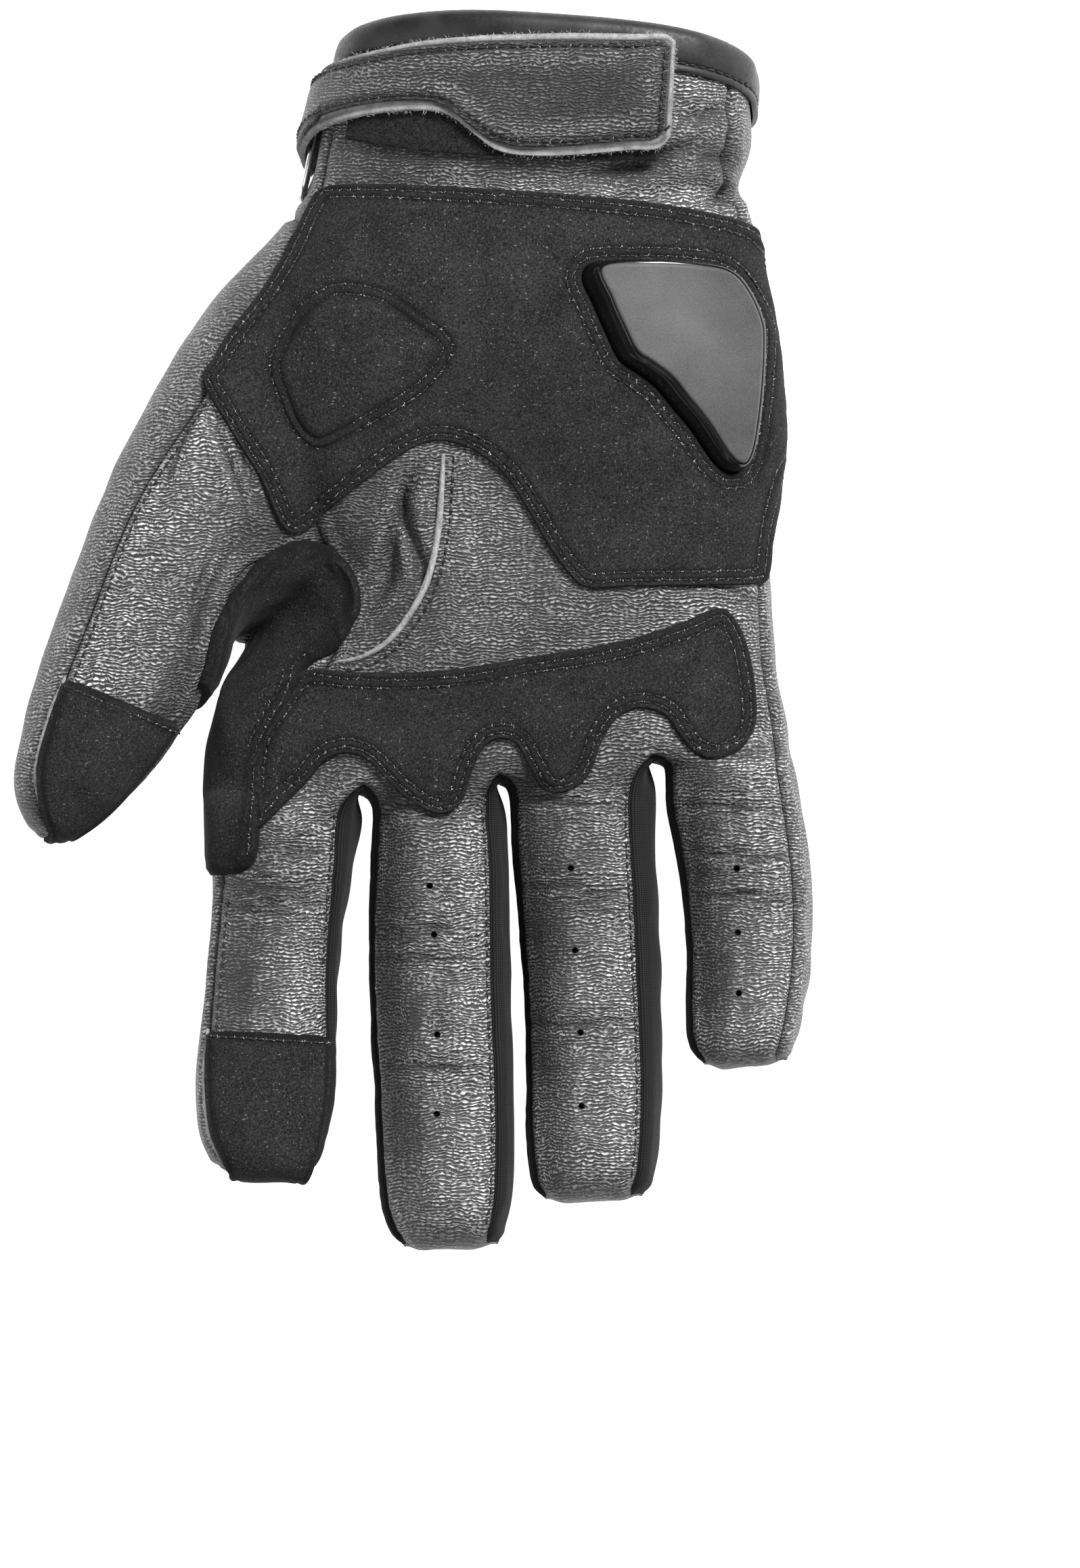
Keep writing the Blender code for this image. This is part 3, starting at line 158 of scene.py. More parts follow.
# Rings of the thumb. outer: shares of its reach and drop from the wrist corner.
# inner: shares of the way from the crotch to the tip. height, half: in thumb depths.
# walls: share of the ring that the outer and the inner side wall take from the front.
# web: how far the web carries the ring's inner back along the crease, in its length.
thumbParts = ("outer", "inner", "height", "half", "walls", "web")
thumbRings = [dict(zip(thumbParts, row)) for row in (
    ((0.277, 0.111), (0.175, 0.112), 0.79, 0.63, (0.2, 0.07), 0.75),
    ((0.434, 0.196), (0.248, 0.183), 0.82, 0.59, (0.24, 0.12), 0.6),
    ((0.566, 0.283), (0.3, 0.269), 0.86, 0.56, (0.23, 0.12), 0.5),
    ((0.731, 0.412), (0.361, 0.398), 0.9, 0.53, (0.19, 0.06), 0.38),
    ((0.881, 0.557), (0.432, 0.487), 0.93, 0.49, (0.2, 0.03), 0.29),
    ((0.956, 0.645), (0.455, 0.539), 0.94, 0.47, (0.19, 0.03), 0.22),
    ((1.025, 0.726), (0.505, 0.613), 0.95, 0.45, (0.18, 0.03), 0.17),
    ((1.085, 0.807), (0.581, 0.71), 0.95, 0.42, (0.18, 0.03), 0.11),
    ((1.123, 0.877), (0.665, 0.805), 0.94, 0.39, (0.19, 0.03), 0.05),
    ((1.118, 0.946), (0.771, 0.913), 0.925, 0.3, (0.26, 0.045), 0.0),
    ((1.038, 0.994), (0.876, 0.977), 0.91, 0.15, (0.33, 0.06), 0.0),
)]

# Mounds and hollows of the front: x in palm widths, y in palm lengths,
# spread in palm widths, rise in palm depths
mounds = [
    (-0.32, 0.6, 0.13, 0.05),
    (0.16, 0.6, 0.12, 0.03),
    (-0.08, 0.42, 0.13, -0.09),
    (0.02, 0.8, 0.2, -0.05),
    (-0.46, 0.24, 0.06, -0.16),
    (0.34, 0.82, 0.05, -0.07),
    (0.24, 0.9, 0.06, 0.04),
]

# Outlines of what is sewn on, as shares of the palm's width and length
palmPatch = [
    (-0.367, 0.825), (-0.296, 0.828), (-0.175, 0.824), (0.013, 0.815), (0.175, 0.803),
    (0.283, 0.789), (0.352, 0.775), (0.385, 0.755), (0.430, 0.708), (0.450, 0.600),
    (0.450, 0.483), (0.420, 0.430), (0.396, 0.354), (0.388, 0.300), (0.372, 0.284),
    (0.283, 0.281), (0.148, 0.279), (0.081, 0.277), (0.051, 0.292), (0.013, 0.333),
    (-0.024, 0.384), (-0.061, 0.429), (-0.108, 0.461), (-0.155, 0.476), (-0.195, 0.476),
    (-0.236, 0.461), (-0.296, 0.427), (-0.364, 0.384), (-0.404, 0.358), (-0.434, 0.354),
    (-0.456, 0.373), (-0.485, 0.429), (-0.526, 0.483), (-0.577, 0.556), (-0.559, 0.590),
    (-0.526, 0.633), (-0.472, 0.687), (-0.431, 0.740), (-0.398, 0.796),
]
knucklePatch = [
    (-0.388, 0.167), (-0.323, 0.164), (-0.229, 0.163), (-0.121, 0.170), (-0.013, 0.185),
    (0.094, 0.198), (0.189, 0.217), (0.256, 0.236), (0.299, 0.251), (0.323, 0.245),
    (0.348, 0.209), (0.364, 0.150), (0.367, 0.097), (0.348, 0.062), (0.303, 0.042),
    (0.263, 0.052), (0.232, 0.080), (0.209, 0.105), (0.168, 0.114), (0.132, 0.102),
    (0.105, 0.070), (0.088, 0.032), (0.065, 0.009), (0.030, -0.002), (0.000, 0.008),
    (-0.024, 0.038), (-0.047, 0.067), (-0.078, 0.071), (-0.102, 0.056), (-0.121, 0.021),
    (-0.135, -0.011), (-0.159, -0.029), (-0.191, -0.028), (-0.236, -0.005),
    (-0.270, 0.021), (-0.303, 0.045), (-0.337, 0.052), (-0.371, 0.041), (-0.404, 0.011),
    (-0.450, -0.026), (-0.492, -0.050), (-0.500, 0.011), (-0.496, 0.054),
    (-0.482, 0.086), (-0.450, 0.123), (-0.420, 0.155),
]
webPatch = [
    (-0.404, 0.344), (-0.352, 0.329), (-0.321, 0.301), (-0.307, 0.269), (-0.314, 0.234),
    (-0.356, 0.191), (-0.402, 0.170), (-0.412, 0.147), (-0.428, 0.119), (-0.457, 0.082),
    (-0.473, 0.052), (-0.477, 0.010), (-0.484, -0.060), (-0.487, -0.087),
    (-0.502, -0.105), (-0.530, -0.113), (-0.590, -0.113), (-0.640, -0.100),
    (-0.640, 0.050), (-0.640, 0.120), (-0.596, 0.142), (-0.580, 0.170),
    (-0.560, 0.230), (-0.500, 0.300), (-0.455, 0.333),
]
sliderTilt = Vector((0.50, 0.16, 0.85)).normalized()

# The light raw seam that stands up between the thumb's gusset and the palm
weltPath = [
    (-0.168, 0.460), (-0.170, 0.425), (-0.174, 0.375), (-0.183, 0.325), (-0.199, 0.280),
    (-0.228, 0.238), (-0.264, 0.204), (-0.307, 0.184), (-0.352, 0.177),
]

# Strap and loop patch: turn in palm columns from the left seam, negative round the left side and
# over the back; low and high edge in palm lengths; lift from the leather in mm
strap = [
    (-13.0, 0.818, 0.876, 0.7), (-8.0, 0.818, 0.878, 0.7), (-6.0, 0.818, 0.884, 1.0),
    (-5.0, 0.82, 0.898, 1.6), (-4.0, 0.828, 0.918, 1.9), (-3.0, 0.84, 0.942, 2.3),
    (-2.0, 0.858, 0.96, 2.3), (-1.0, 0.878, 0.978, 2.3), (0.0, 0.9, 0.991, 2.3),
    (1.6, 0.918, 1.006, 2.3), (3.5, 0.926, 1.018, 2.3), (4.9, 0.925, 1.024, 2.3),
    (5.6, 0.915, 1.026, 2.3), (6.4, 0.895, 1.028, 2.3), (7.2, 0.877, 1.029, 2.3),
    (8.2, 0.869, 1.03, 2.3), (9.8, 0.869, 1.031, 2.3), (12.0, 0.877, 1.029, 2.3),
    (13.0, 0.88, 1.028, 2.3), (13.4, 0.894, 1.018, 2.3),
]
loopPatch = [
    (1.0, 0.888, 0.968, 0.3), (2.5, 0.88, 0.972, 0.3), (5.0, 0.87, 0.975, 0.3),
    (8.0, 0.864, 0.975, 0.3), (10.5, 0.861, 0.975, 0.3), (13.1, 0.86, 0.975, 0.3),
]
# The metal loop under the strap: turn, y in palm lengths
strapRing = [
    (-1.45, 0.920), (-1.35, 0.885), (-1.3, 0.850), (-1.4, 0.822), (-2.0, 0.812),
    (-2.7, 0.812), (-2.8, 0.840), (-2.8, 0.875), (-2.75, 0.905), (-2.1, 0.920),
]

palmWidth = sum(finger["slot"] * finger["width"] for finger in fingers)
leftEdge = palmRows[-1]["left"] * palmWidth


def between(table, along):
    # The row of a table at a share of the length, on a smooth curve through its rows.
    first = [row[0] for row in table]
    if along <= first[0]:
        return table[0][1:]
    if along >= first[-1]:
        return table[-1][1:]
    k = max(i for i, value in enumerate(first) if value <= along)
    step = first[k + 1] - first[k]
    u = (along - first[k]) / step
    found = []
    for column in range(1, len(table[0])):
        here, there = table[k][column], table[k + 1][column]
        before = max(k - 1, 0)
        after = min(k + 2, len(table) - 1)
        slopeHere = (there - table[before][column]) / (first[k + 1] - first[before])
        slopeThere = (table[after][column] - here) / (first[after] - first[k])
        found.append(
            (2 * u**3 - 3 * u**2 + 1) * here
            + (u**3 - 2 * u**2 + u) * step * slopeHere
            + (3 * u**2 - 2 * u**3) * there
            + (u**3 - u**2) * step * slopeThere
        )
    return found


def threeStage(values, along):
    # A value given at the root, the middle and the tip.
    root, middle, tip = values
    return between([(0.0, root), (0.5, middle), (1.0, tip)], along)[0]


def rimHeight(across, power):
    return (1 - min(abs(across), 1.0) ** power) ** (1 / power)


def section(left, right, middleZ, up, down, fronts, backs, powers):
    # One closed ring of the skin, from the left front seam round to the left side.
    # left and right are the silhouette points in plan. fronts and backs list where the
    # columns stand, from -1 at the left silhouette to 1 at the right one.
    frontPower, backPower, leftPower = powers
    centre, half = (left + right) / 2, (right - left) / 2

    def powerAt(across, base):
        if across >= 0:
            return base
        return base + (leftPower - base) * min(1.0, -across * 1.5)

    def at(across, height):
        spot = centre + half * across
        return Vector((spot.x, spot.y, max(0.0, middleZ + height)))

    def front(across):
        return at(across, up * rimHeight(across, powerAt(across, frontPower)))

    def back(across):
        return at(across, -down * rimHeight(across, backPower))

    def side(start, end):
        # Points between a front seam and the back seam below it.
        sign = 1 if start > 0 else -1
        power = frontPower if sign > 0 else leftPower
        angleFrom = math.acos(min(1.0, abs(start)) ** (power / 2))
        angleTo = -math.acos(min(1.0, abs(end)) ** (backPower / 2))
        points = []
        for k in range(1, sidePoints + 1):
            angle = angleFrom + (angleTo - angleFrom) * k / (sidePoints + 1)
            shape = power if angle > 0 else backPower
            across = sign * math.cos(angle) ** (2 / shape)
            reach = up if angle > 0 else -down
            points.append(at(across, reach * abs(math.sin(angle)) ** (2 / shape)))
        return points

    ring = [front(across) for across in fronts]
    ring += side(fronts[-1], backs[-1])
    ring += [back(across) for across in reversed(backs)]
    ring += reversed(side(fronts[0], backs[0]))
    return ring


def columnShares():
    # Where the palm's columns stand between its two front seams.
    crotches = [0.0]
    for finger in fingers:
        crotches.append(crotches[-1] + finger["slot"] * finger["width"])
    seamLeft = palmRows[-1]["seams"][0] * palmWidth
    seamRight = crotches[-1] - palmRows[-1]["seams"][1] * palmWidth
    stops = [seamLeft] + crotches[1:-1] + [seamRight]
    shares = []
    for start, end in zip(stops, stops[1:]):
        for k in range(fingerColumns):
            shares.append(start + (end - start) * k / fingerColumns)
    shares.append(stops[-1])
    return [(share - seamLeft) / (seamRight - seamLeft) for share in shares]


def moundRise(x, y):
    total = 0.0
    for moundX, moundY, spread, rise in mounds:
        away = (x - moundX * palmWidth) ** 2 + (y - moundY * palmLength) ** 2
        total += rise * math.exp(-away / (2 * (spread * palmWidth) ** 2))
    return total * palmDepth


def palmRing(index):
    row = palmRows[index]
    leftX, rightX = row["left"] * palmWidth, row["right"] * palmWidth
    left = Vector((leftX, row["y"][0] * palmLength))
    right = Vector((rightX, row["y"][1] * palmLength))
    width = row["right"] - row["left"]
    start = -1 + 2 * row["seams"][0] / width
    end = 1 - 2 * row["seams"][1] / width
    fronts = [start + (end - start) * share for share in columnShares()]
    backStart = -1 + 2 * row["backLeft"] / width
    backEnd = 1 - 2 * 0.05 / width
    backs = [backStart + (backEnd - backStart) * share for share in columnShares()]
    bottom, top = row["bottom"] * palmDepth, row["top"] * palmDepth
    middle = bottom + equator * (top - bottom)
    powers = (sectionPower, backPower, row["power"])
    ring = section(left, right, middle, top - middle, middle - bottom, fronts, backs, powers)
    pastCrotch = max(0, index - thumbCrotchRow)
    curve = (pastCrotch / (len(palmRows) - 1 - thumbCrotchRow)) ** 2
    backTo = 2 * palmColumns + sidePoints + 1
    for k, point in enumerate(ring):
        if k <= palmColumns or k > backTo:
            point.z += moundRise(point.x, point.y)
        across = (point.x - leftEdge) / palmWidth
        point.y += row["lean"] * (point.z - middle)
        point.y += knuckleRise * curve * max(0.0, across) ** 2
        if k > backTo:
            deep = (len(ring) - k) / (sidePoints + 1)
        else:
            deep = max(0.0, 1 - (backTo - k) / 5) if k > palmColumns else 0.0
        point.y -= row["web"] * palmLength * deep
    if index == thumbCrotchRow:
        for k in range(1, sidePoints + 1):
            ring[backTo + k] = ring[backTo].lerp(ring[0], k / (sidePoints + 1))
    return ring


def fingerWays(finger):
    axis = Vector((finger["splay"], -1.0)).normalized()
    return axis, Vector((-axis.y, axis.x))


def fingerRing(finger, root, along):
    # A ring of a finger. root is the middle of its slot on the palm's root line.
    leftShare, rightShare = between(finger["edges"], along)
    height, half = between(fingerSide, along)
    axis, across = fingerWays(finger)
    spot = root + axis * along * finger["length"]
    left = spot + across * leftShare * finger["width"]
    right = spot + across * rightShare * finger["width"]
    start = -1 + 2 * threeStage(finger["leftWall"], along)
    end = 1 - 2 * threeStage(finger["rightWall"], along)
    steps = [k / fingerColumns for k in range(fingerColumns + 1)]
    fronts = [start + (end - start) * step for step in steps]
    backs = [-0.84 + 1.68 * step for step in steps]
    reach = half * fingerDepth
    powers = (sectionPower, sectionPower, sectionPower)
    return section(left, right, height * fingerDepth, reach, reach, fronts, backs, powers)


def thumbRing(ring, corner, crotch, crease):
    tip = corner + Vector((-thumbReach, -thumbDrop))
    outer = corner + Vector((-ring["outer"][0] * thumbReach, -ring["outer"][1] * thumbDrop))
    way = tip - crotch
    inner = crotch + Vector((ring["inner"][0] * way.x, ring["inner"][1] * way.y))
    start = -1 + 2 * ring["walls"][0]
    end = 1 - 2 * ring["walls"][1]
    columns = thumbCrotchRow - thumbTopRow
    steps = [k / columns for k in range(columns + 1)]
    fronts = [start + (end - start) * step for step in steps]
    backs = [-0.82 + 1.64 * step for step in steps]
    reach = ring["half"] * thumbDepth
    powers = (sectionPower, sectionPower, sectionPower)
    made = section(outer, inner, ring["height"] * thumbDepth, reach, reach, fronts, backs, powers)
    backFrom = columns + sidePoints + 1
    for k, point in enumerate(made):
        if columns < k <= backFrom:
            deep = (k - columns) / (sidePoints + 1)
        else:
            deep = max(0.0, 1 - (k - backFrom) / 4) if k > columns else 0.0
        shift = crease * ring["web"] * min(deep, 1.0)
        point.x, point.y = point.x + shift.x, point.y + shift.y
    return made


# Creases of the leather: depth and width in mm, then the path in shares of the palm's size
creases = [
    (0.68, 0.81, [(-0.569, -0.127), (-0.512, -0.124), (-0.445, -0.13), (-0.357, -0.127)]),
    (0.74, 0.81, [(-0.566, -0.143), (-0.485, -0.139), (-0.411, -0.147), (-0.358, -0.144)]),
    (0.56, 0.81, [(-0.546, -0.159), (-0.472, -0.156), (-0.391, -0.161)]),
    (0.43, 0.81, [(-0.458, -0.08), (-0.404, -0.075), (-0.364, -0.084)]),
    (0.74, 0.81, [(-0.283, -0.186), (-0.216, -0.182), (-0.148, -0.189), (-0.085, -0.186)]),
    (0.68, 0.81, [(-0.28, -0.227), (-0.216, -0.224), (-0.155, -0.231), (-0.088, -0.227)]),
    (0.62, 0.81, [(-0.256, -0.379), (-0.175, -0.376), (-0.081, -0.382)]),
    (0.62, 0.9, [(-0.276, -0.032), (-0.229, -0.021), (-0.162, -0.032), (-0.108, -0.021)]),
    (0.81, 0.81, [(-0.034, -0.133), (0.04, -0.127), (0.108, -0.136), (0.178, -0.146)]),
    (0.56, 0.81, [(-0.024, -0.152), (0.054, -0.148), (0.175, -0.161)]),
    (0.74, 0.81, [(-0.013, -0.318), (0.067, -0.315), (0.175, -0.328)]),
    (0.62, 0.9, [(-0.04, -0.013), (0.027, -0.011), (0.108, -0.021), (0.156, -0.028)]),
    (0.74, 0.9, [(0.229, -0.024), (0.31, -0.017), (0.418, -0.028)]),
    (0.62, 0.81, [(0.243, -0.077), (0.323, -0.086), (0.438, -0.09)]),
    (0.74, 0.81, [(0.263, -0.146), (0.35, -0.137), (0.438, -0.15)]),
    (0.87, 0.9, [(0.243, 0.281), (0.29, 0.282), (0.337, 0.273), (0.384, 0.255)]),
    (0.62, 0.81, [(0.283, 0.266), (0.33, 0.26), (0.371, 0.244)]),
    (2.36, 1.45, [(-0.204, 0.448), (-0.233, 0.392), (-0.218, 0.336), (-0.197, 0.289)]),
    (2.19, 1.55, [(-0.224, 0.427), (-0.241, 0.381), (-0.251, 0.336), (-0.263, 0.289),
                 (-0.299, 0.247)]),
    (0.87, 1.08, [(-0.256, 0.397), (-0.264, 0.343), (-0.283, 0.3), (-0.307, 0.277)]),
    (0.87, 1.08, [(-0.577, 0.526), (-0.546, 0.472), (-0.519, 0.418), (-0.496, 0.354)]),
    (0.74, 0.99, [(-0.526, 0.483), (-0.501, 0.429), (-0.478, 0.376)]),
    (0.81, 0.99, [(-0.526, 0.333), (-0.559, 0.29), (-0.586, 0.236), (-0.6, 0.172)]),
    (0.68, 0.9, [(-0.563, 0.333), (-0.593, 0.268), (-0.606, 0.225)]),
    (0.49, 0.99, [(-0.586, 0.526), (-0.62, 0.461), (-0.654, 0.397)]),
    (2.03, 1.86, [(0.317, 0.886), (0.263, 0.88), (0.225, 0.869), (0.179, 0.852),
                 (0.108, 0.839), (0.04, 0.835)]),
    (1.34, 1.76, [(0.323, 0.933), (0.283, 0.923), (0.243, 0.914)]),
    (2.19, 1.66, [(0.348, 0.83), (0.317, 0.815), (0.29, 0.803)]),
    (1.51, 1.66, [(0.334, 0.853), (0.303, 0.864), (0.256, 0.856)]),
    (1.25, 1.08, [(-0.442, 0.792), (-0.404, 0.798), (-0.357, 0.803)]),
]

zones = ["cuff", "heel", "root", "thumb", "index", "middle", "ring", "little"]
panelNodes = [
    "palm_panel", "back_panel", "fourchette_index_middle", "fourchette_middle_ring",
    "fourchette_ring_little", "thumb_front", "thumb_back",
]
palmNumber, backNumber, fourchetteNumber, thumbFrontNumber, thumbBackNumber = 0, 1, 2, 5, 6
ribStep = 5.5  # width of a finger's column in the knit's own map, in mm


def linkObject(name, data):
    obj = bpy.data.objects.new(name, data)
    bpy.context.scene.collection.objects.link(obj)
    return obj


def meshObject(name, bm, masks=None):
    # a finished bmesh as an object; masks are values at its points
    mesh = bpy.data.meshes.new(name)
    bm.to_mesh(mesh)
    bm.free()
    for mask, values in (masks or {}).items():
        layer = mesh.attributes.new(mask, "FLOAT", "POINT")
        layer.data.foreach_set("value", np.asarray(values, np.float32))
    return linkObject(name, mesh)


def spotsOf(vectors):
    return np.array([tuple(v) for v in vectors])


def treeOf(spots):
    tree = kdtree.KDTree(len(spots))
    for k, spot in enumerate(spots):
        tree.insert(spot, k)
    tree.balance()
    return tree


def addFace(bm, corners, panel, zone, ring, column, spots=None):
    face = bm.faces.new(corners)
    face.material_index = panel
    face[bm.faces.layers.int["zone"]] = zones.index(zone)
    face[bm.faces.layers.int["ring"]] = ring
    face[bm.faces.layers.int["column"]] = column
    if spots:
        for loop, spot in zip(face.loops, spots):
            loop[bm.loops.layers.uv["ribs"]].uv = spot


def loft(bm, rings, panelOf, zone, heights=None):
    for number, (near, far) in enumerate(zip(rings, rings[1:])):
        count = len(near)
        for k in range(count):
            panel = panelOf(k)
            if panel is None:
                continue
            corners = (near[k], near[(k + 1) % count], far[(k + 1) % count], far[k])
            spots = None
            if heights:
                a, b = k * ribStep, (k + 1) * ribStep
                low, high = heights[number] / mm, heights[number + 1] / mm
                spots = ((a, low), (b, low), (b, high), (a, high))
            addFace(bm, corners, panel, zone, number, k, spots)


def closeTip(bm, ring, columns, panel, zone):
    far = columns + sidePoints + 1
    for k in range(columns):
        corners = (ring[k], ring[k + 1], ring[far + columns - k - 1], ring[far + columns - k])
        addFace(bm, corners, panel, zone, -1, k)
    for first, last in ((columns, far), (far + columns, len(ring))):
        near = ring[first:last + 1]
        if len(near) < sidePoints + 2:
            near = near + [ring[0]]
        addFace(bm, (near[0], near[1], near[3], near[4]), panel, zone, -1, -1)
        addFace(bm, near[1:4], panel, zone, -1, -1)


skinMake = {"levels": 3, "fits": 3, "share": 0.9, "most": 1.5 * mm, "tipCrease": 0.05}


def buildCage():
    # the coarse skin, open at the cuff; rings keeps each digit's rings for seams and stitches
    bm = bmesh.new()
    for name in ("zone", "ring", "column"):
        bm.faces.layers.int.new(name)
    bm.loops.layers.uv.new("ribs")
    rings = {}
    rows = [[bm.verts.new(p) for p in palmRing(k)] for k in range(len(palmRows))]
    backFrom = palmColumns + sidePoints + 1
    backTo = backFrom + palmColumns

    def palmPanelOf(k):
        return palmNumber if k < palmColumns else backNumber

    def besideThumb(k):
        return None if k >= backTo else palmPanelOf(k)

    loft(bm, rows[:thumbTopRow + 1], palmPanelOf, "cuff")
    loft(bm, rows[thumbTopRow:thumbCrotchRow + 1], besideThumb, "heel")
    loft(bm, rows[thumbCrotchRow:], palmPanelOf, "root")

    top, crotch = rows[thumbTopRow], rows[thumbCrotchRow]
    heel = rows[thumbTopRow:thumbCrotchRow + 1]
    first = [row[0] for row in heel]
    first += [crotch[k] for k in range(len(crotch) - 1, backTo, -1)]
    first += [row[backTo] for row in reversed(heel)]
    first += top[backTo + 1:]
    corner = Vector((palmRows[thumbTopRow]["left"] * palmWidth, top[0].co.y))
    crotchSpot = crotch[0].co.xy
    crease = crotch[backTo].co.xy - crotchSpot
    thumb = [first]
    for ring in thumbRings:
        thumb.append([bm.verts.new(p) for p in thumbRing(ring, corner, crotchSpot, crease)])
    columns = thumbCrotchRow - thumbTopRow
    loft(bm, thumb, lambda k: thumbFrontNumber if k < columns else thumbBackNumber, "thumb")
    closeTip(bm, thumb[-1], columns, thumbFrontNumber, "thumb")
    rings["thumb"] = thumb

    last = rows[-1]
    crotchX = leftEdge
    walls = [list(reversed(last[backTo + 1:]))]
    for number in range(1, len(fingers)):
        front = last[number * fingerColumns]
        behind = last[backTo - number * fingerColumns]
        walls.append([
            bm.verts.new(front.co.lerp(behind.co, k / (sidePoints + 1)))
            for k in range(1, sidePoints + 1)
        ])
    walls.append(last[palmColumns + 1:backFrom])
    for number, finger in enumerate(fingers):
        start, end = number * fingerColumns, (number + 1) * fingerColumns
        ring0 = last[start:end + 1] + walls[number + 1]
        ring0 += last[backTo - end:backTo - start + 1] + list(reversed(walls[number]))
        slot = finger["slot"] * finger["width"]
        root = Vector((crotchX + slot / 2, last[start + 2].co.y))
        finger["root"] = root
        crotchX += slot
        made = [ring0]
        for along in ringStops:
            made.append([bm.verts.new(p) for p in fingerRing(finger, root, along)])

        def fingerPanelOf(k, number=number):
            if k < fingerColumns:
                return palmNumber
            if k <= fingerColumns + sidePoints:
                return backNumber if number == len(fingers) - 1 else fourchetteNumber + number
            if k <= 2 * fingerColumns + sidePoints:
                return backNumber
            return backNumber if number == 0 else fourchetteNumber + number - 1

        heights = [along * finger["length"] for along in (0.0, *ringStops)]
        loft(bm, made, fingerPanelOf, finger["name"], heights)
        closeTip(bm, made[-1], fingerColumns, palmNumber, finger["name"])
        rings[finger["name"]] = made

    creased = bm.edges.layers.float.new("crease_edge")
    for face in bm.faces:
        if face[bm.faces.layers.int["ring"]] == -1:
            for edge in face.edges:
                if any(other[bm.faces.layers.int["ring"]] >= 0 for other in edge.link_faces):
                    edge[creased] = skinMake["tipCrease"]
    lid = bm.faces.new(rows[0])
    bmesh.ops.delete(bm, geom=[v for v in bm.verts if not v.link_faces], context="VERTS")
    bmesh.ops.recalc_face_normals(bm, faces=bm.faces)
    bm.faces.remove(lid)
    bmesh.ops.translate(bm, verts=bm.verts, vec=glovePlace)
    spots = {name: [[v.co.copy() for v in ring] for ring in made] for name, made in rings.items()}
    cuffRows = [[v.co.copy() for v in row] for row in rows[:thumbTopRow + 1]]
    return bm, spots, cuffRows


def pointsOf(mesh, what="co"):
    values = np.empty(len(mesh.vertices) * 3, np.float32)
    mesh.vertices.foreach_get(what, values)
    return values.reshape(-1, 3).astype(float)


def fineSkin(cage):
    # subdivided so that it still passes through the cage's own corners
    holder = meshObject("skinCage", cage)
    mesh = holder.data
    smooth = holder.modifiers.new("smooth", "SUBSURF")
    smooth.levels = smooth.render_levels = skinMake["levels"]
    aim = pointsOf(mesh)
    place = aim.copy()
    graph = bpy.context.evaluated_depsgraph_get()
    for _ in range(skinMake["fits"]):
        bpy.context.view_layer.update()
        found = pointsOf(holder.evaluated_get(graph).data)[:len(aim)]
        place += (aim - found) * skinMake["share"]
        shift = place - aim
        size = np.linalg.norm(shift, axis=1, keepdims=True)
        place = aim + shift * np.minimum(1.0, skinMake["most"] / np.maximum(size, 1e-9))
        mesh.vertices.foreach_set("co", place.astype(np.float32).ravel())
        mesh.update()
    bpy.context.view_layer.update()
    fine = bpy.data.meshes.new_from_object(holder.evaluated_get(graph))
    bpy.data.objects.remove(holder)
    co = pointsOf(fine)
    co[:, 2] = np.maximum(co[:, 2], 0.0)
    fine.vertices.foreach_set("co", co.astype(np.float32).ravel())
    fine.update()
    print("fine skin:", len(fine.vertices), "points,", len(fine.polygons), "faces, fit to",
          round(float(np.abs(found - aim).max()) / mm, 3), "mm")
    return fine


cage, ringSpots, cuffRows = buildCage()
skin = fineSkin(cage)
skinCo, skinNormals = pointsOf(skin), pointsOf(skin, "normal")
skinFaces = [tuple(face.vertices) for face in skin.polygons]
skinTree = BVHTree.FromPolygons([Vector(p) for p in skinCo], skinFaces)
faceTags = {}
for name in ("zone", "ring", "column"):
    values = np.zeros(len(skin.polygons), np.int32)
    skin.attributes[name].data.foreach_get("value", values)
    faceTags[name] = values
facePanel = np.zeros(len(skin.polygons), np.int32)
skin.polygons.foreach_get("material_index", facePanel)
wrapHeight = 18 * mm  # where the sides of the hand are widest


def skinAt(index, spot):
    # the skin's smooth normal at a spot of one of its faces
    total = np.zeros(3)
    for corner in skinFaces[index]:
        away = np.linalg.norm(skinCo[corner] - spot) + 0.02 * mm
        total += skinNormals[corner] / away
    return Vector(total).normalized()


def onSkin(x, y):
    # the spot under a point of the plan and its normal; past the silhouette it goes on
    # down the side
    spot, _, index, _ = skinTree.ray_cast(Vector((x, y, 0.1)), Vector((0, 0, -1)))
    if spot is None or spot.z < 4 * mm:
        near, _, index, _ = skinTree.find_nearest(Vector((x, y, wrapHeight)))
        past = math.hypot(near.x - x, near.y - y)
        spot, _, index, _ = skinTree.find_nearest(Vector((near.x, near.y, wrapHeight - 1.6 * past)))
    return spot, skinAt(index, spot)


def inPlan(points):
    # shares of the palm's width and length as spots of the row frame
    return [Vector((x * palmWidth + glovePlace.x, y * palmLength + glovePlace.y)) for x, y in points]


def curveThrough(spots, closed=True, steps=8):
    # a Catmull-Rom curve through spots of two or three numbers
    made, count = [], len(spots)
    for k in range(count if closed else count - 1):
        b, c = spots[k], spots[(k + 1) % count]
        a = spots[k - 1] if closed or k else b
        d = spots[(k + 2) % count] if closed or k + 2 < count else c
        for step in range(steps):
            u = step / steps
            made.append(0.5 * (2 * b + (c - a) * u + (2 * a - 5 * b + 4 * c - d) * u**2
                               + (3 * b - a - 3 * c + d) * u**3))
    return made if closed else made + [spots[-1]]


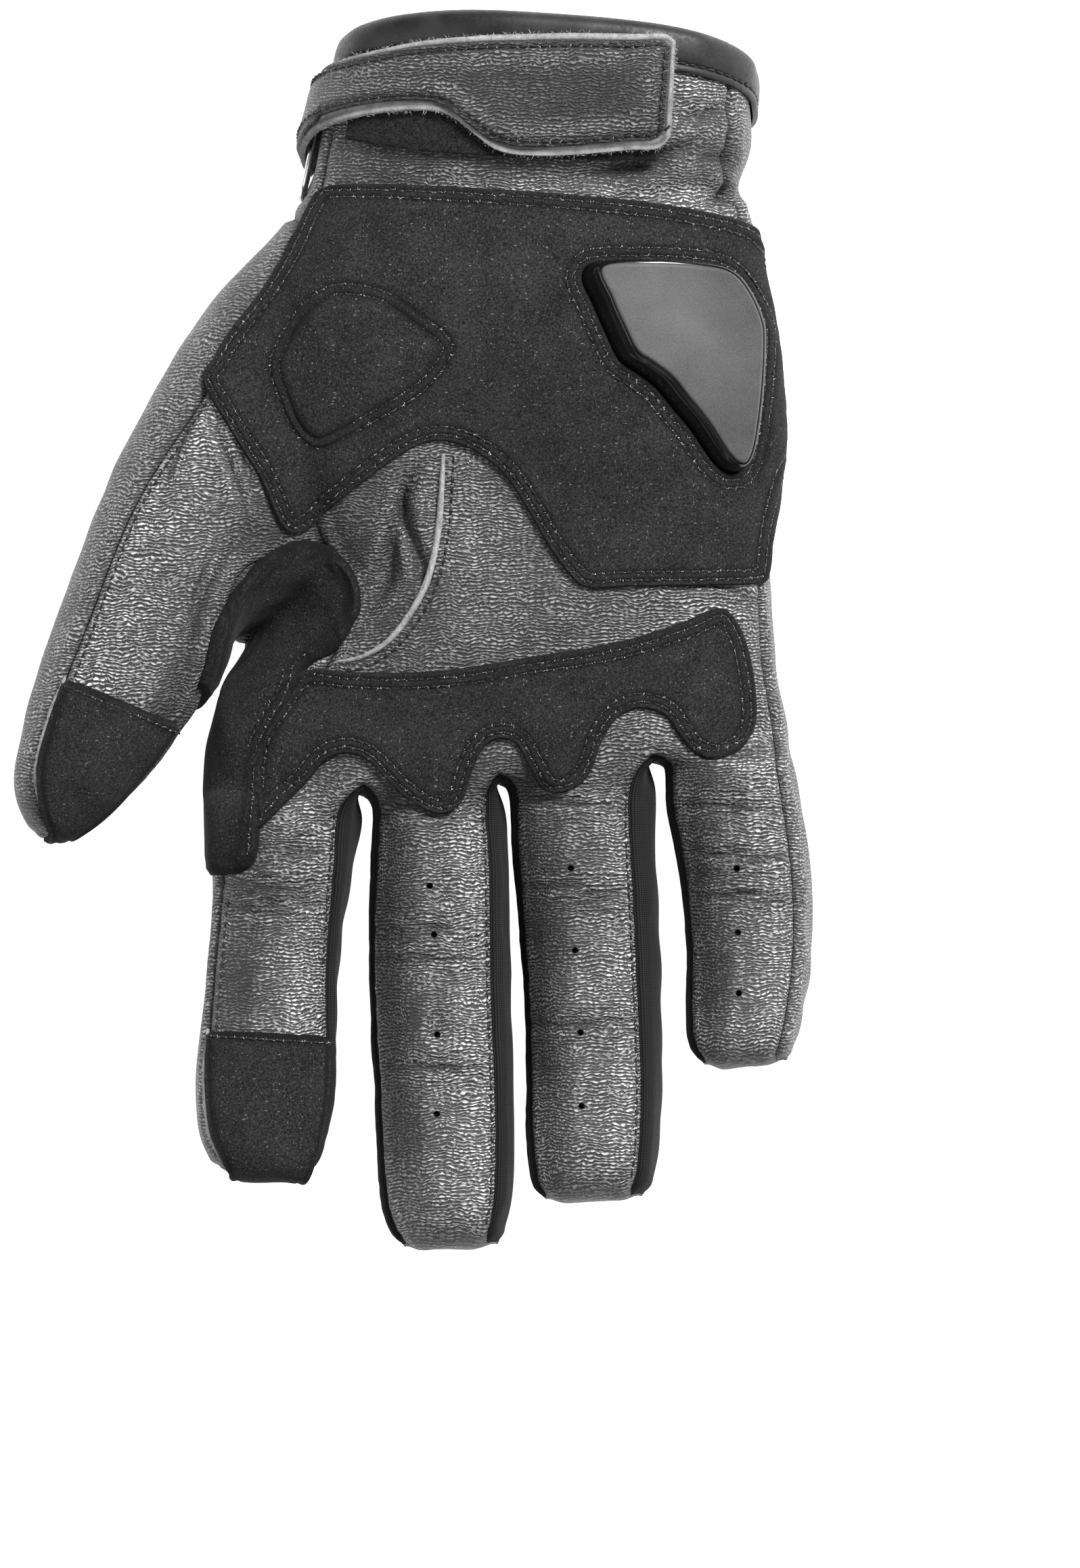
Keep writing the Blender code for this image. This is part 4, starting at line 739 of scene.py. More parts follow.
def evenly(path, step, closed=True):
    # the same path with its points a step apart
    ends = path + [path[0]] if closed else path
    lengths = [0.0]
    for a, b in zip(ends, ends[1:]):
        lengths.append(lengths[-1] + (b - a).length)
    count = max(3, round(lengths[-1] / step))
    made, k = [], 0
    for number in range(count if closed else count + 1):
        want = lengths[-1] * number / count
        while k < len(ends) - 2 and lengths[k + 1] < want:
            k += 1
        gap = lengths[k + 1] - lengths[k] or 1.0
        made.append(ends[k].lerp(ends[k + 1], (want - lengths[k]) / gap))
    return made


def outlineOf(shares, step=0.8 * mm):
    return evenly(curveThrough(inPlan(shares)), step)


def openLine(spots, step=0.5 * mm):
    return evenly(curveThrough(spots, closed=False), step, closed=False)


def asArray(path):
    return np.array([tuple(p)[:2] for p in path])


def awayFrom(points, path, closed=True):
    # how far points of the plan lie from a path
    a = asArray(path)
    b = np.roll(a, -1, axis=0)
    if not closed:
        a, b = a[:-1], b[:-1]
    best = np.full(len(points), 1.0)
    for start in range(0, len(points), 4000):
        p = points[start:start + 4000, None, :]
        way = b - a
        t = np.clip(((p - a) * way).sum(2) / np.maximum((way * way).sum(1), 1e-18), 0, 1)
        gaps = np.linalg.norm(p - (a + t[..., None] * way), axis=2)
        best[start:start + 4000] = gaps.min(axis=1)
    return best


def insideOf(points, path):
    a = asArray(path)
    b = np.roll(a, -1, axis=0)
    inside = np.zeros(len(points), bool)
    for (ax, ay), (bx, by) in zip(a, b):
        if ay == by:
            continue
        crosses = (points[:, 1] > ay) != (points[:, 1] > by)
        at = ax + (points[:, 1] - ay) * (bx - ax) / (by - ay)
        inside ^= crosses & (points[:, 0] < at)
    return inside


def grown(outline, distance):
    # an outline moved outwards, or inwards where the distance is negative
    area = sum(a.cross(b) for a, b in zip(outline, outline[1:] + outline[:1]))
    sign = -1 if area > 0 else 1
    moved = []
    for k, spot in enumerate(outline):
        way = (outline[(k + 1) % len(outline)] - outline[k - 1]).normalized()
        moved.append(spot + Vector((-way.y, way.x)) * distance * sign)
    return moved


def insideRing(outline, distance):
    # the points of a moved outline that are really that far from it
    moved = grown(outline, -distance)
    gaps = awayFrom(asArray(moved), outline)
    return [spot for spot, gap in zip(moved, gaps) if gap > abs(distance) - 0.06 * mm]


def planMesh(outline, holes, rings, lattice, extra=()):
    # a filled outline with rings of points beside its edges and an even lattice inside
    loops = [outline, *holes]
    points, edges = [], []
    for loop in loops:
        first = len(points)
        points += loop
        edges += [(first + k, first + (k + 1) % len(loop)) for k in range(len(loop))]
    added = []
    for distance in rings:
        added += insideRing(outline, distance)
        for hole in holes:
            added += insideRing(hole, -distance)
    added += list(extra)
    spots = asArray(added)
    low, high = asArray(outline).min(0), asArray(outline).max(0)
    grid = []
    for j, y in enumerate(np.arange(low[1], high[1], lattice * 0.87)):
        for x in np.arange(low[0] + (j % 2) * lattice / 2, high[0], lattice):
            grid.append((x, y))
    grid = np.array(grid)

    def clear(cloud, least):
        keep = insideOf(cloud, outline)
        for hole in holes:
            keep &= ~insideOf(cloud, hole)
        for loop in loops:
            keep &= awayFrom(cloud, loop) > least
        return cloud[keep]

    spots = clear(spots, rings[0] * 0.9)
    grid = clear(grid, rings[-1] + lattice * 0.4)
    if len(extra):
        tree = treeOf([(spot.x, spot.y, 0) for spot in extra])
        grid = np.array([p for p in grid if tree.find((p[0], p[1], 0))[2] > lattice * 0.6])
    points += [Vector(p) for p in spots] + [Vector(p) for p in grid]
    made, _, faces, *_ = delaunay_2d_cdt(points, edges, [], 4, 1e-7)
    return made, faces


def nearEdge(points, outline, holes=()):
    found = awayFrom(points, outline)
    for hole in holes:
        found = np.minimum(found, awayFrom(points, hole))
    return found


def finishPiece(obj, look, node=None, smooth=50):
    # look: name of its finish; smooth: edges sharper than this angle stay sharp
    obj.data.materials.clear()
    obj.data.materials.append(finish[look])
    obj.data.shade_smooth()
    if smooth < 180:
        obj.data.set_sharp_from_angle(angle=math.radians(smooth))
    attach(obj, "root")
    if node:
        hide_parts(node)
    return obj


def closedShell(name, upper, lower, faces, masks=None):
    # a closed wall between two like surfaces; masks are values at the upper points
    bm = bmesh.new()
    top = [bm.verts.new(p) for p in upper]
    bottom = [bm.verts.new(p) for p in lower]
    used = {}
    for face in faces:
        bm.faces.new([top[k] for k in face])
        bm.faces.new([bottom[k] for k in reversed(face)])
        used.update(dict.fromkeys(zip(face, (*face[1:], face[0]))))
    for a, b in used:
        if (b, a) not in used:
            bm.faces.new((top[b], top[a], bottom[a], bottom[b]))
    bm.verts.index_update()
    kept = [v.index for v in bm.verts if v.link_faces]
    bmesh.ops.delete(bm, geom=[v for v in bm.verts if not v.link_faces], context="VERTS")
    bmesh.ops.recalc_face_normals(bm, faces=bm.faces)
    both = {mask: np.tile(values, 2)[kept] for mask, values in (masks or {}).items()}
    return meshObject(name, bm, both)


def rounded(distance, width):
    # from 0 at an edge to 1 a width inside it, on a quarter circle
    t = np.clip(np.asarray(distance) / width, 0, 1)
    return np.sqrt(1 - (1 - t) ** 2)


def bell(distance, width):
    return np.exp(-((np.asarray(distance) / width) ** 2))


# Materials


def newGroup(name, inputs, outputs):
    # inputs: names with a number, a vector or None for a linked vector; outputs: names of values
    tree = bpy.data.node_groups.new(name, "ShaderNodeTree")
    for label, value in inputs.items():
        kind = "NodeSocketFloat" if isinstance(value, float) else "NodeSocketVector"
        socket = tree.interface.new_socket(label, in_out="INPUT", socket_type=kind)
        if value is not None:
            socket.default_value = value
    for label in outputs:
        tree.interface.new_socket(label, in_out="OUTPUT", socket_type="NodeSocketFloat")
    return tree, tree.nodes.new("NodeGroupInput"), tree.nodes.new("NodeGroupOutput")


def give(tree, out, **values):
    for label, value in values.items():
        tree.links.new(value, out.inputs[label])
    return tree


def addNode(tree, kind, links=None, **settings):
    # links gives each input, by name or number, a value or another node's output
    made = tree.nodes.new("ShaderNode" + kind)
    for name, value in settings.items():
        setattr(made, name, value)
    for key, value in (links or {}).items():
        if isinstance(value, bpy.types.NodeSocket):
            tree.links.new(value, made.inputs[key])
        else:
            made.inputs[key].default_value = value
    return made


def maths(tree, operation, *values):
    return addNode(tree, "Math", dict(enumerate(values)), operation=operation).outputs[0]


def times(tree, *values):
    return maths(tree, "MULTIPLY", *values)


def timesPlus(tree, *values):
    return maths(tree, "MULTIPLY_ADD", *values)


def ramp(tree, value, low, high, out=(0.0, 1.0)):
    links = {0: value, 1: low, 2: high, 3: out[0], 4: out[1]}
    return addNode(tree, "MapRange", links, interpolation_type="SMOOTHSTEP").outputs[0]


def scaled(tree, vector, by):
    return addNode(tree, "VectorMath", {0: vector, 1: by}, operation="MULTIPLY").outputs[0]


def cloudy(tree, vector, scale, detail=2.0, rough=0.5):
    links = {"Vector": vector, "Scale": scale, "Detail": detail, "Roughness": rough}
    return addNode(tree, "TexNoise", links).outputs["Fac"]


def mixed(tree, share, a, b):
    links = {0: share, 6: a, 7: b}
    return addNode(tree, "Mix", links, data_type="RGBA").outputs[2]


def grey(value):
    return (value, value, value * 1.01, 1.0)


def pebbleGrain():
    # goat grain: low scales with dark hollows between them, in rows across the hand
    given = {"Vector": None, "Scale": 1150.0, "Stretch": (0.64, 1.25, 1.0)}
    tree, given, out = newGroup("pebbleGrain", given, ("Height", "Tops", "Mottle"))
    vector = given.outputs["Vector"]
    bend = addNode(tree, "TexNoise", {"Vector": vector, "Scale": 170.0, "Detail": 2.0})
    shift = scaled(tree, bend.outputs["Color"], (0.0030, 0.0030, 0.0030))
    moved = addNode(tree, "VectorMath", {0: vector, 1: shift}, operation="ADD").outputs[0]
    cells = scaled(tree, moved, given.outputs["Stretch"])
    links = {"Vector": cells, "Scale": given.outputs["Scale"], "Randomness": 0.75}
    edge = addNode(tree, "TexVoronoi", links, feature="DISTANCE_TO_EDGE").outputs["Distance"]
    cell = addNode(tree, "TexVoronoi", links, feature="F1")
    rowScale = times(tree, given.outputs["Scale"], 0.36)
    links = {"Vector": moved, "Scale": rowScale, "Distortion": 5.0, "Detail": 2.0, "Detail Scale": 1.4}
    rows = addNode(tree, "TexWave", links, bands_direction="Y").outputs["Fac"]
    fine = cloudy(tree, vector, 3600.0, 3.0, 0.6)
    both = timesPlus(tree, edge, 0.68, times(tree, rows, 0.25))
    both = timesPlus(tree, fine, 0.16, both)
    tops = ramp(tree, both, 0.17, 0.49)
    height = timesPlus(tree, fine, 0.12, tops)
    own = addNode(tree, "SeparateColor", {0: cell.outputs["Color"]}).outputs[0]
    shade = times(tree, tops, timesPlus(tree, own, 0.3, 0.7))
    patchy = cloudy(tree, vector, 55.0, 4.0, 0.6)
    return give(tree, out, Height=height, Tops=shade, Mottle=ramp(tree, patchy, 0.36, 0.64))


def suedeNap():
    # a fine felted nap with light fibres lying in it
    tree, given, out = newGroup("suedeNap", {"Vector": None, "Fibres": 0.15}, ("Height", "Nap", "Fleck"))
    vector = given.outputs["Vector"]
    nap = cloudy(tree, vector, 2600.0, 4.0, 0.75)
    brushed = cloudy(tree, vector, 120.0, 3.0, 0.6)
    fleck = None
    for turn, stretch in enumerate(((0.3, 1.0, 1.0), (1.0, 0.35, 1.0), (0.75, 0.75, 0.4))):
        moved = scaled(tree, vector, stretch)
        links = {"Vector": moved, "Scale": 1500.0 + 260.0 * turn, "Randomness": 1.0}
        dots = addNode(tree, "TexVoronoi", links, feature="F1")
        own = addNode(tree, "SeparateColor", {0: dots.outputs["Color"]}).outputs[0]
        few = ramp(tree, own, 0.50, 0.90)
        size = maths(tree, "SUBTRACT", given.outputs["Fibres"], dots.outputs["Distance"])
        found = times(tree, ramp(tree, size, 0.0, 0.05), few)
        fleck = found if fleck is None else maths(tree, "MAXIMUM", fleck, found)
    height = timesPlus(tree, brushed, 0.5, nap)
    tone = timesPlus(tree, brushed, 0.15, times(tree, nap, 0.85))
    return give(tree, out, Height=height, Nap=tone, Fleck=fleck)


def knitRibs():
    # fine ribs along the finger, crossed by the knit's rows; the map is in millimetres
    tree, given, out = newGroup("knitRibs", {"Map": None, "Rib": 0.62, "Row": 0.42}, ("Height", "Tone"))
    parts = addNode(tree, "SeparateXYZ", {0: given.outputs["Map"]})
    across = maths(tree, "DIVIDE", parts.outputs[0], given.outputs["Rib"])
    along = maths(tree, "DIVIDE", parts.outputs[1], given.outputs["Row"])
    rib = maths(tree, "ABSOLUTE", maths(tree, "SINE", times(tree, across, math.pi)))
    slant = timesPlus(tree, rib, 0.35, along)
    row = maths(tree, "ABSOLUTE", maths(tree, "SINE", times(tree, slant, math.pi)))
    height = timesPlus(tree, row, 0.45, rib)
    return give(tree, out, Height=height, Tone=times(tree, rib, row))


def rawFelt():
    # the cut flesh side of the leather: pale, matted and uneven
    tree, given, out = newGroup("rawFelt", {"Vector": None}, ("Height", "Tone"))
    vector = given.outputs["Vector"]
    fine = cloudy(tree, vector, 3000.0, 4.0, 0.8)
    coarse = cloudy(tree, vector, 420.0, 3.0, 0.7)
    both = timesPlus(tree, coarse, 0.6, times(tree, fine, 0.6))
    return give(tree, out, Height=both, Tone=ramp(tree, both, 0.38, 0.82))


groups = {made.name: made for made in (pebbleGrain(), suedeNap(), knitRibs(), rawFelt())}


def newMaterial(name, roughness, **settings):
    made = bpy.data.materials.new(name)
    made.use_nodes = True
    shader = made.node_tree.nodes["Principled BSDF"]
    shader.inputs["Roughness"].default_value = roughness
    for label, value in settings.items():
        shader.inputs[label.replace("_", " ")].default_value = value
    place = made.node_tree.nodes.new("ShaderNodeTexCoord").outputs["Object"]
    return made, made.node_tree, place


def dressed(made, colour, rough=None, height=None, depth=0.0):
    # the material with its colour, roughness and bump linked
    tree = made.node_tree
    shader = tree.nodes["Principled BSDF"]
    tree.links.new(colour, shader.inputs["Base Color"])
    if rough is not None:
        tree.links.new(rough, shader.inputs["Roughness"])
    if height is not None:
        bump = addNode(tree, "Bump", {"Height": height, "Distance": depth})
        tree.links.new(bump.outputs["Normal"], shader.inputs["Normal"])
    return made


def useGroup(tree, name, links):
    return addNode(tree, "Group", links, node_tree=groups[name])


def maskValue(tree, name):
    return addNode(tree, "Attribute", attribute_name=name).outputs["Fac"]


def creased(tree, colour, share, dark):
    # painted shade: the colour goes towards the dark grey where the crease mask lies, in creases, seam and
    # stitch grooves, along cut edges and on the ends of the tips
    sunk = times(tree, maskValue(tree, "crease"), share)
    return mixed(tree, sunk, colour, grey(dark))


grainLook = {
    # hollows, tops, dull: greys of the dark grain hollows, of the leather under the full painted highlight
    # and of the leather where none is painted, which reads as painted shade
    "front": {"hollows": 0.012, "tops": 0.900, "dull": 0.125, "depth": 0.64 * mm, "scale": 1230.0},
    "back": {"hollows": 0.014, "tops": 0.650, "dull": 0.120, "depth": 0.56 * mm, "scale": 1230.0},
    "strap": {"hollows": 0.008, "tops": 0.360, "dull": 0.085, "depth": 0.56 * mm, "scale": 1230.0},
}


def grainedLeather(name):
    look = grainLook[name]
    made, tree, place = newMaterial("grainedLeather_" + name, 0.5, Specular_IOR_Level=0.75)
    grain = useGroup(tree, "pebbleGrain", {"Vector": place, "Scale": look["scale"]})
    # painted highlight: the mask of where the surface faces the lamps, with some rubbed wear beside seams,
    # lifts the colour from the dull grey towards the tops grey
    rubAndHighlight = times(tree, maskValue(tree, "rubAndHighlight"), 0.80)
    mottleAndHighlight = timesPlus(tree, grain.outputs["Mottle"], 0.26, rubAndHighlight)
    light = mixed(tree, maths(tree, "MINIMUM", mottleAndHighlight, 1.0), grey(look["dull"]), grey(look["tops"]))
    streaks = cloudy(tree, scaled(tree, place, (150.0, 1150.0, 500.0)), 1.0)
    lines = times(tree, ramp(tree, streaks, 0.51, 0.62), maskValue(tree, "wrinkle"))
    # painted shade: the colour is darkened in creases, seams and the fine wrinkle lines; the lines are also a
    # real bump
    sunk = times(tree, maths(tree, "MAXIMUM", maskValue(tree, "crease"), lines), 0.9)
    shade = times(tree, grain.outputs["Tops"], maths(tree, "SUBTRACT", 1.0, sunk))
    colour = mixed(tree, shade, grey(look["hollows"]), light)
    rough = ramp(tree, shade, 0.0, 1.0, (0.60, 0.34))
    height = maths(tree, "SUBTRACT", grain.outputs["Height"], times(tree, lines, 2.0))
    return dressed(made, colour, rough, height, look["depth"])


def smoothLeather():
    made, tree, place = newMaterial("smoothLeather", 0.46, Specular_IOR_Level=0.35)
    fine = cloudy(tree, place, 1500.0, 3.0, 0.6)
    broad = cloudy(tree, place, 140.0)
    colour = mixed(tree, ramp(tree, broad, 0.3, 0.7), grey(0.010), grey(0.024))
    height = timesPlus(tree, broad, 0.8, times(tree, fine, 0.3))
    rough = ramp(tree, fine, 0.3, 0.7, (0.40, 0.58))
    return dressed(made, creased(tree, colour, 1.0, 0.003), rough, height, 0.10 * mm)


def suedeLeather():
    made, tree, place = newMaterial(
        "suede", 0.95, Specular_IOR_Level=0.12, Sheen_Weight=0.03, Sheen_Roughness=0.5)
    nap = useGroup(tree, "suedeNap", {"Vector": place})
    colour = mixed(tree, ramp(tree, nap.outputs["Nap"], 0.38, 0.66), grey(0.006), grey(0.046))
    colour = mixed(tree, times(tree, nap.outputs["Fleck"], 0.75), colour, grey(0.27))
    colour = creased(tree, colour, 0.85, 0.006)
    return dressed(made, colour, None, nap.outputs["Height"], 0.14 * mm)


def stretchKnit():
    made, tree, _ = newMaterial(
        "stretchKnit", 0.8, Specular_IOR_Level=0.15, Sheen_Weight=0.03, Sheen_Roughness=0.4)
    spots = addNode(tree, "UVMap", uv_map="ribs")
    ribs = useGroup(tree, "knitRibs", {"Map": spots.outputs[0]})
    colour = creased(tree, mixed(tree, ribs.outputs["Tone"], grey(0.006), grey(0.030)), 0.6, 0.004)
    return dressed(made, colour, None, ribs.outputs["Height"], 0.12 * mm)


def rawEdge():
    made, tree, place = newMaterial(
        "rawEdge", 0.95, Specular_IOR_Level=0.15, Sheen_Weight=0.1, Sheen_Roughness=0.5)
    felt = useGroup(tree, "rawFelt", {"Vector": place})
    colour = creased(tree, mixed(tree, felt.outputs["Tone"], grey(0.20), grey(0.52)), 0.8, 0.05)
    return dressed(made, colour, None, felt.outputs["Height"], 0.18 * mm)


def loopPile():
    made, tree, place = newMaterial(
        "loopPile", 0.9, Specular_IOR_Level=0.15, Sheen_Weight=0.03, Sheen_Roughness=0.5)
    fine = cloudy(tree, place, 2400.0, 4.0, 0.8)
    colour = mixed(tree, ramp(tree, fine, 0.35, 0.7), grey(0.003), grey(0.045))
    return dressed(made, colour, None, fine, 0.3 * mm)


def sewingThread():
    made, tree, place = newMaterial("sewingThread", 0.55, Specular_IOR_Level=0.4)
    links = {"Vector": place, "Scale": 900.0, "Distortion": 4.0, "Detail": 2.0}
    twist = addNode(tree, "TexWave", links).outputs["Fac"]
    return dressed(made, mixed(tree, twist, grey(0.003), grey(0.022)), None, twist, 0.05 * mm)


def plainFibre(name, tone, spread):
    made, tree, place = newMaterial(name, 0.8, Specular_IOR_Level=0.2)
    speck = ramp(tree, cloudy(tree, place, 700.0, 2.0, 0.6), 0.35, 0.65)
    return dressed(made, mixed(tree, speck, grey(tone - spread), grey(tone + spread)))


def glossPlastic():
    made, tree, place = newMaterial(
        "glossPlastic", 0.10, Specular_IOR_Level=0.35, Coat_Weight=0.15, Coat_Roughness=0.06)
    ripple = cloudy(tree, place, 180.0)
    scuff = cloudy(tree, place, 2200.0, 4.0, 0.7)
    colour = mixed(tree, ramp(tree, scuff, 0.60, 0.85), grey(0.005), grey(0.020))
    return dressed(made, colour, ramp(tree, scuff, 0.3, 0.8, (0.14, 0.28)), ripple, 0.06 * mm)


def satinPlastic():
    made, tree, place = newMaterial("satinPlastic", 0.52, Specular_IOR_Level=0.22)
    grit = cloudy(tree, place, 4200.0, 2.0, 0.7)
    broad = cloudy(tree, place, 40.0, 3.0, 0.6)
    worn = timesPlus(tree, broad, 0.5, times(tree, grit, 0.5))
    colour = mixed(tree, ramp(tree, worn, 0.30, 0.72), grey(0.050), grey(0.125))
    return dressed(made, colour, ramp(tree, grit, 0.3, 0.7, (0.40, 0.56)), grit, 0.04 * mm)


def polishedSteel():
    made, tree, place = newMaterial("polishedSteel", 0.2, Metallic=1.0)
    worn = cloudy(tree, scaled(tree, place, (1.0, 0.15, 1.0)), 2500.0, 3.0, 0.6)
    return dressed(made, mixed(tree, worn, grey(0.42), grey(0.66)), ramp(tree, worn, 0.3, 0.7, (0.14, 0.30)))


finish = {
    "front": grainedLeather("front"), "back": grainedLeather("back"), "strap": grainedLeather("strap"),
    "smooth": smoothLeather(), "suede": suedeLeather(), "knit": stretchKnit(), "raw": rawEdge(),
    "pile": loopPile(), "thread": sewingThread(), "gloss": glossPlastic(), "satin": satinPlastic(),
    "steel": polishedSteel(), "lint": plainFibre("lint", 0.62, 0.15),
    "rawFibre": plainFibre("rawFibre", 0.45, 0.12), "pileFibre": plainFibre("pileFibre", 0.030, 0.022),
    "napFibre": plainFibre("napFibre", 0.055, 0.03),
}
print("materials:", len(finish))


seamLook = {
    # a dip at the seam with a puffed row beside it; painted shade as a dark line in it and a painted
    # highlight, with some rubbed wear, on the row beside it
    "dip": 0.85 * mm, "width": 0.60 * mm, "puff": 0.22 * mm, "puffAt": 2.3 * mm, "puffWidth": 1.3 * mm,
    "dark": 0.9, "darkWidth": 0.55 * mm, "rubAndHighlight": 0.4, "highlightAt": 2.2 * mm, "highlightWidth": 1.2 * mm,
}
unevenness = {"swell": 0.25 * mm, "swellSize": 9 * mm, "pucker": 0.12 * mm, "puckerSize": 2.6 * mm}


def borderPoints(mesh, parts):
    # the ends of the edges that lie between two panels; the caller takes their middles too
    count = len(mesh.edges)
    lowest, highest = np.full(count, 99), np.full(count, -1)
    uses = np.zeros(count, int)
    edgeOf = np.zeros(len(mesh.loops), np.int32)
    mesh.loops.foreach_get("edge_index", edgeOf)
    sizes = np.zeros(len(mesh.polygons), np.int32)
    mesh.polygons.foreach_get("loop_total", sizes)
    partOf = np.repeat(parts, sizes)
    np.minimum.at(lowest, edgeOf, partOf)
    np.maximum.at(highest, edgeOf, partOf)
    np.add.at(uses, edgeOf, 1)
    ends = np.zeros(count * 2, np.int32)
    mesh.edges.foreach_get("vertices", ends)
    return ends.reshape(-1, 2)[(lowest != highest) & (uses > 1)]


def nearestGap(points, anchors):
    tree = treeOf(anchors)
    return np.array([tree.find(p)[2] for p in points])


def waves(points, size, seed):
    # a smooth, repeatable unevenness from a few crossed sine waves, from -1 to 1
    mix = random.Random(seed)
    total = np.zeros(len(points))
    for _ in range(9):
        way = Vector([mix.uniform(-1, 1) for _ in range(3)]).normalized()
        pace = 2 * math.pi / (size * mix.uniform(0.7, 1.6))
        total += np.sin(points @ np.array(way) * pace + mix.uniform(0, 6.3))
    return total / 4.5


tipSpots = {
    corner for number, face in enumerate(skinFaces)
    if faceTags["ring"][number] == -1 and faceTags["column"][number] == -1 for corner in face
}
tipCalm = np.clip(nearestGap(skinCo, [skinCo[corner] for corner in tipSpots]) / (3 * mm), 0, 1)
tipRound = {"draw": 1.1 * mm, "reach": 2.6 * mm}


def roundedTips(co):
    # the tight corners of each tip are drawn back
    spots = np.array(sorted(tipSpots, key=lambda corner: skinCo[corner, 0]))
    splits = np.where(np.diff(skinCo[spots, 0]) > 5 * mm)[0] + 1
    moved = co.copy()
    for group in np.split(spots, splits):
        way = skinNormals[group].mean(axis=0)
        way[2] = 0.0
        way /= np.linalg.norm(way)
        gap = np.linalg.norm((co - co[group].mean(axis=0))[:, :2], axis=1)
        moved -= way * (tipRound["draw"] * bell(gap, tipRound["reach"]))[:, None]
    return moved


def sculptSkin():
    # presses the seams and creases in; returns the moved points and their masks of painted shade, of painted
    # highlight with some rubbed wear, and of wrinkle lines
    ends = borderPoints(skin, facePanel)
    anchors = np.concatenate([skinCo[ends[:, 0]], skinCo[ends[:, 1]], skinCo[ends].mean(axis=1)])
    toSeam = nearestGap(skinCo, anchors)
    look = seamLook
    rise = -look["dip"] * bell(toSeam, look["width"])
    rise += look["puff"] * bell(toSeam - look["puffAt"], look["puffWidth"])
    # painted shade in the seam's groove and painted highlight on the puffed row beside it
    crease = look["dark"] * bell(toSeam, look["darkWidth"])
    rubAndHighlight = look["rubAndHighlight"] * bell(toSeam - look["highlightAt"], look["highlightWidth"])
    wrinkle = np.zeros(len(skinCo))
    lit = np.clip(skinNormals[:, 2] * 2.0, 0, 1)
    for depth, width, path in creases:
        spots = asArray(openLine(inPlan(path)))
        depth, width = depth * mm, width * mm
        low, high = spots.min(axis=0) - 4 * width, spots.max(axis=0) + 4 * width
        boxed = ((skinCo[:, :2] > low) & (skinCo[:, :2] < high)).all(axis=1)
        near = np.where(boxed & (skinNormals[:, 2] > -0.1))[0]
        if not len(near):
            continue
        gaps = np.linalg.norm(skinCo[near][:, None, :2] - spots[None], axis=2)
        gap = gaps.min(axis=1)
        along = np.clip((gaps.argmin(axis=1) + 0.5) / len(spots), 0.06, 0.94)
        share = np.sin(math.pi * along) ** 0.7 * lit[near]
        sunk = bell(gap, width * 0.75)
        rise[near] += share * depth * (0.45 * bell(gap - 2.0 * width, width) - sunk)
        # painted shade in the crease and painted highlight on the ridge beside it
        crease[near] = np.maximum(crease[near], share * min(1.0, 0.5 + depth / mm) * sunk)
        rubAndHighlight[near] = np.maximum(rubAndHighlight[near], 0.5 * share * bell(gap - 1.9 * width, width))
        if path[0][1] < 0.0:  # only the creases of the fingers have fine lines beside them
            wrinkle[near] = np.maximum(wrinkle[near], share * bell(gap, 3.2 * width))
    free = np.clip(toSeam / (3 * mm), 0, 1)
    rise += unevenness["swell"] * waves(skinCo, unevenness["swellSize"], 3) * free
    rise += unevenness["pucker"] * waves(skinCo, unevenness["puckerSize"], 5) * bell(toSeam, 3 * mm)
    moved = roundedTips(skinCo) + skinNormals * (rise * tipCalm)[:, None]
    moved[:, 2] = np.maximum(moved[:, 2], 0.0)
    return moved, crease, rubAndHighlight, wrinkle


sculpted, paintedCreaseShade, rubAndHighlightMask, wrinkleMask = sculptSkin()
sculptTree = BVHTree.FromPolygons([Vector(p) for p in sculpted], skinFaces)
print("skin sculpted")


panelLook = {"wall": 1.3 * mm, "thin": 0.12, "gap": 0.08 * mm, "ventSize": 1.25 * mm, "ventDepth": 8 * mm}
panelParts = [
    # name, finish and slot of each panel, in the order of panelNodes
    ("palmPanel", "front", "grained_leather"), ("backPanel", "back", "grained_leather"),
    ("fourchetteIndexMiddle", "knit", "knit"), ("fourchetteMiddleRing", "knit", "knit"),
    ("fourchetteRingLittle", "knit", "knit"), ("thumbFront", "front", "grained_leather"),
    ("thumbBack", "back", "grained_leather"),
]
vents = {
    "middle": [(0.22, -0.05), (0.325, -0.03), (0.54, -0.03), (0.71, -0.05)],
    "ring": [(0.23, -0.09), (0.42, -0.08), (0.61, -0.06), (0.78, -0.07)],
    "little": [(0.38, 0.04), (0.58, 0.02), (0.77, 0.0)],
}


def ventRods():
    bm = bmesh.new()
    for finger in fingers:
        for along, step in vents.get(finger["name"], []):
            axis, across = fingerWays(finger)
            spot = finger["root"] + axis * along * finger["length"] + across * step * finger["width"]
            top, _ = onSkin(spot.x + glovePlace.x, spot.y + glovePlace.y)
            radius = panelLook["ventSize"] / 2
            made = bmesh.ops.create_cone(bm, cap_ends=True, segments=16, radius1=radius, radius2=radius,
                                         depth=panelLook["ventDepth"])
            bmesh.ops.translate(bm, verts=made["verts"], vec=top)
    return meshObject("ventRods", bm)


def applied(obj):
    # the object with its modifiers made part of its mesh
    bpy.context.view_layer.update()
    mesh = bpy.data.meshes.new_from_object(obj.evaluated_get(bpy.context.evaluated_depsgraph_get()))
    obj.modifiers.clear()
    obj.data = mesh
    return obj


def cutAway(obj, cutter):
    boolean = obj.modifiers.new("cut", "BOOLEAN")
    boolean.operation = "DIFFERENCE"
    boolean.solver = "MANIFOLD"
    boolean.object = cutter
    applied(obj)
    bpy.data.objects.remove(cutter)


# painted shade on the ends of the tips, which face away from the key lamp
tipShade = {"most": 0.60, "from": 0.15, "over": 0.45}
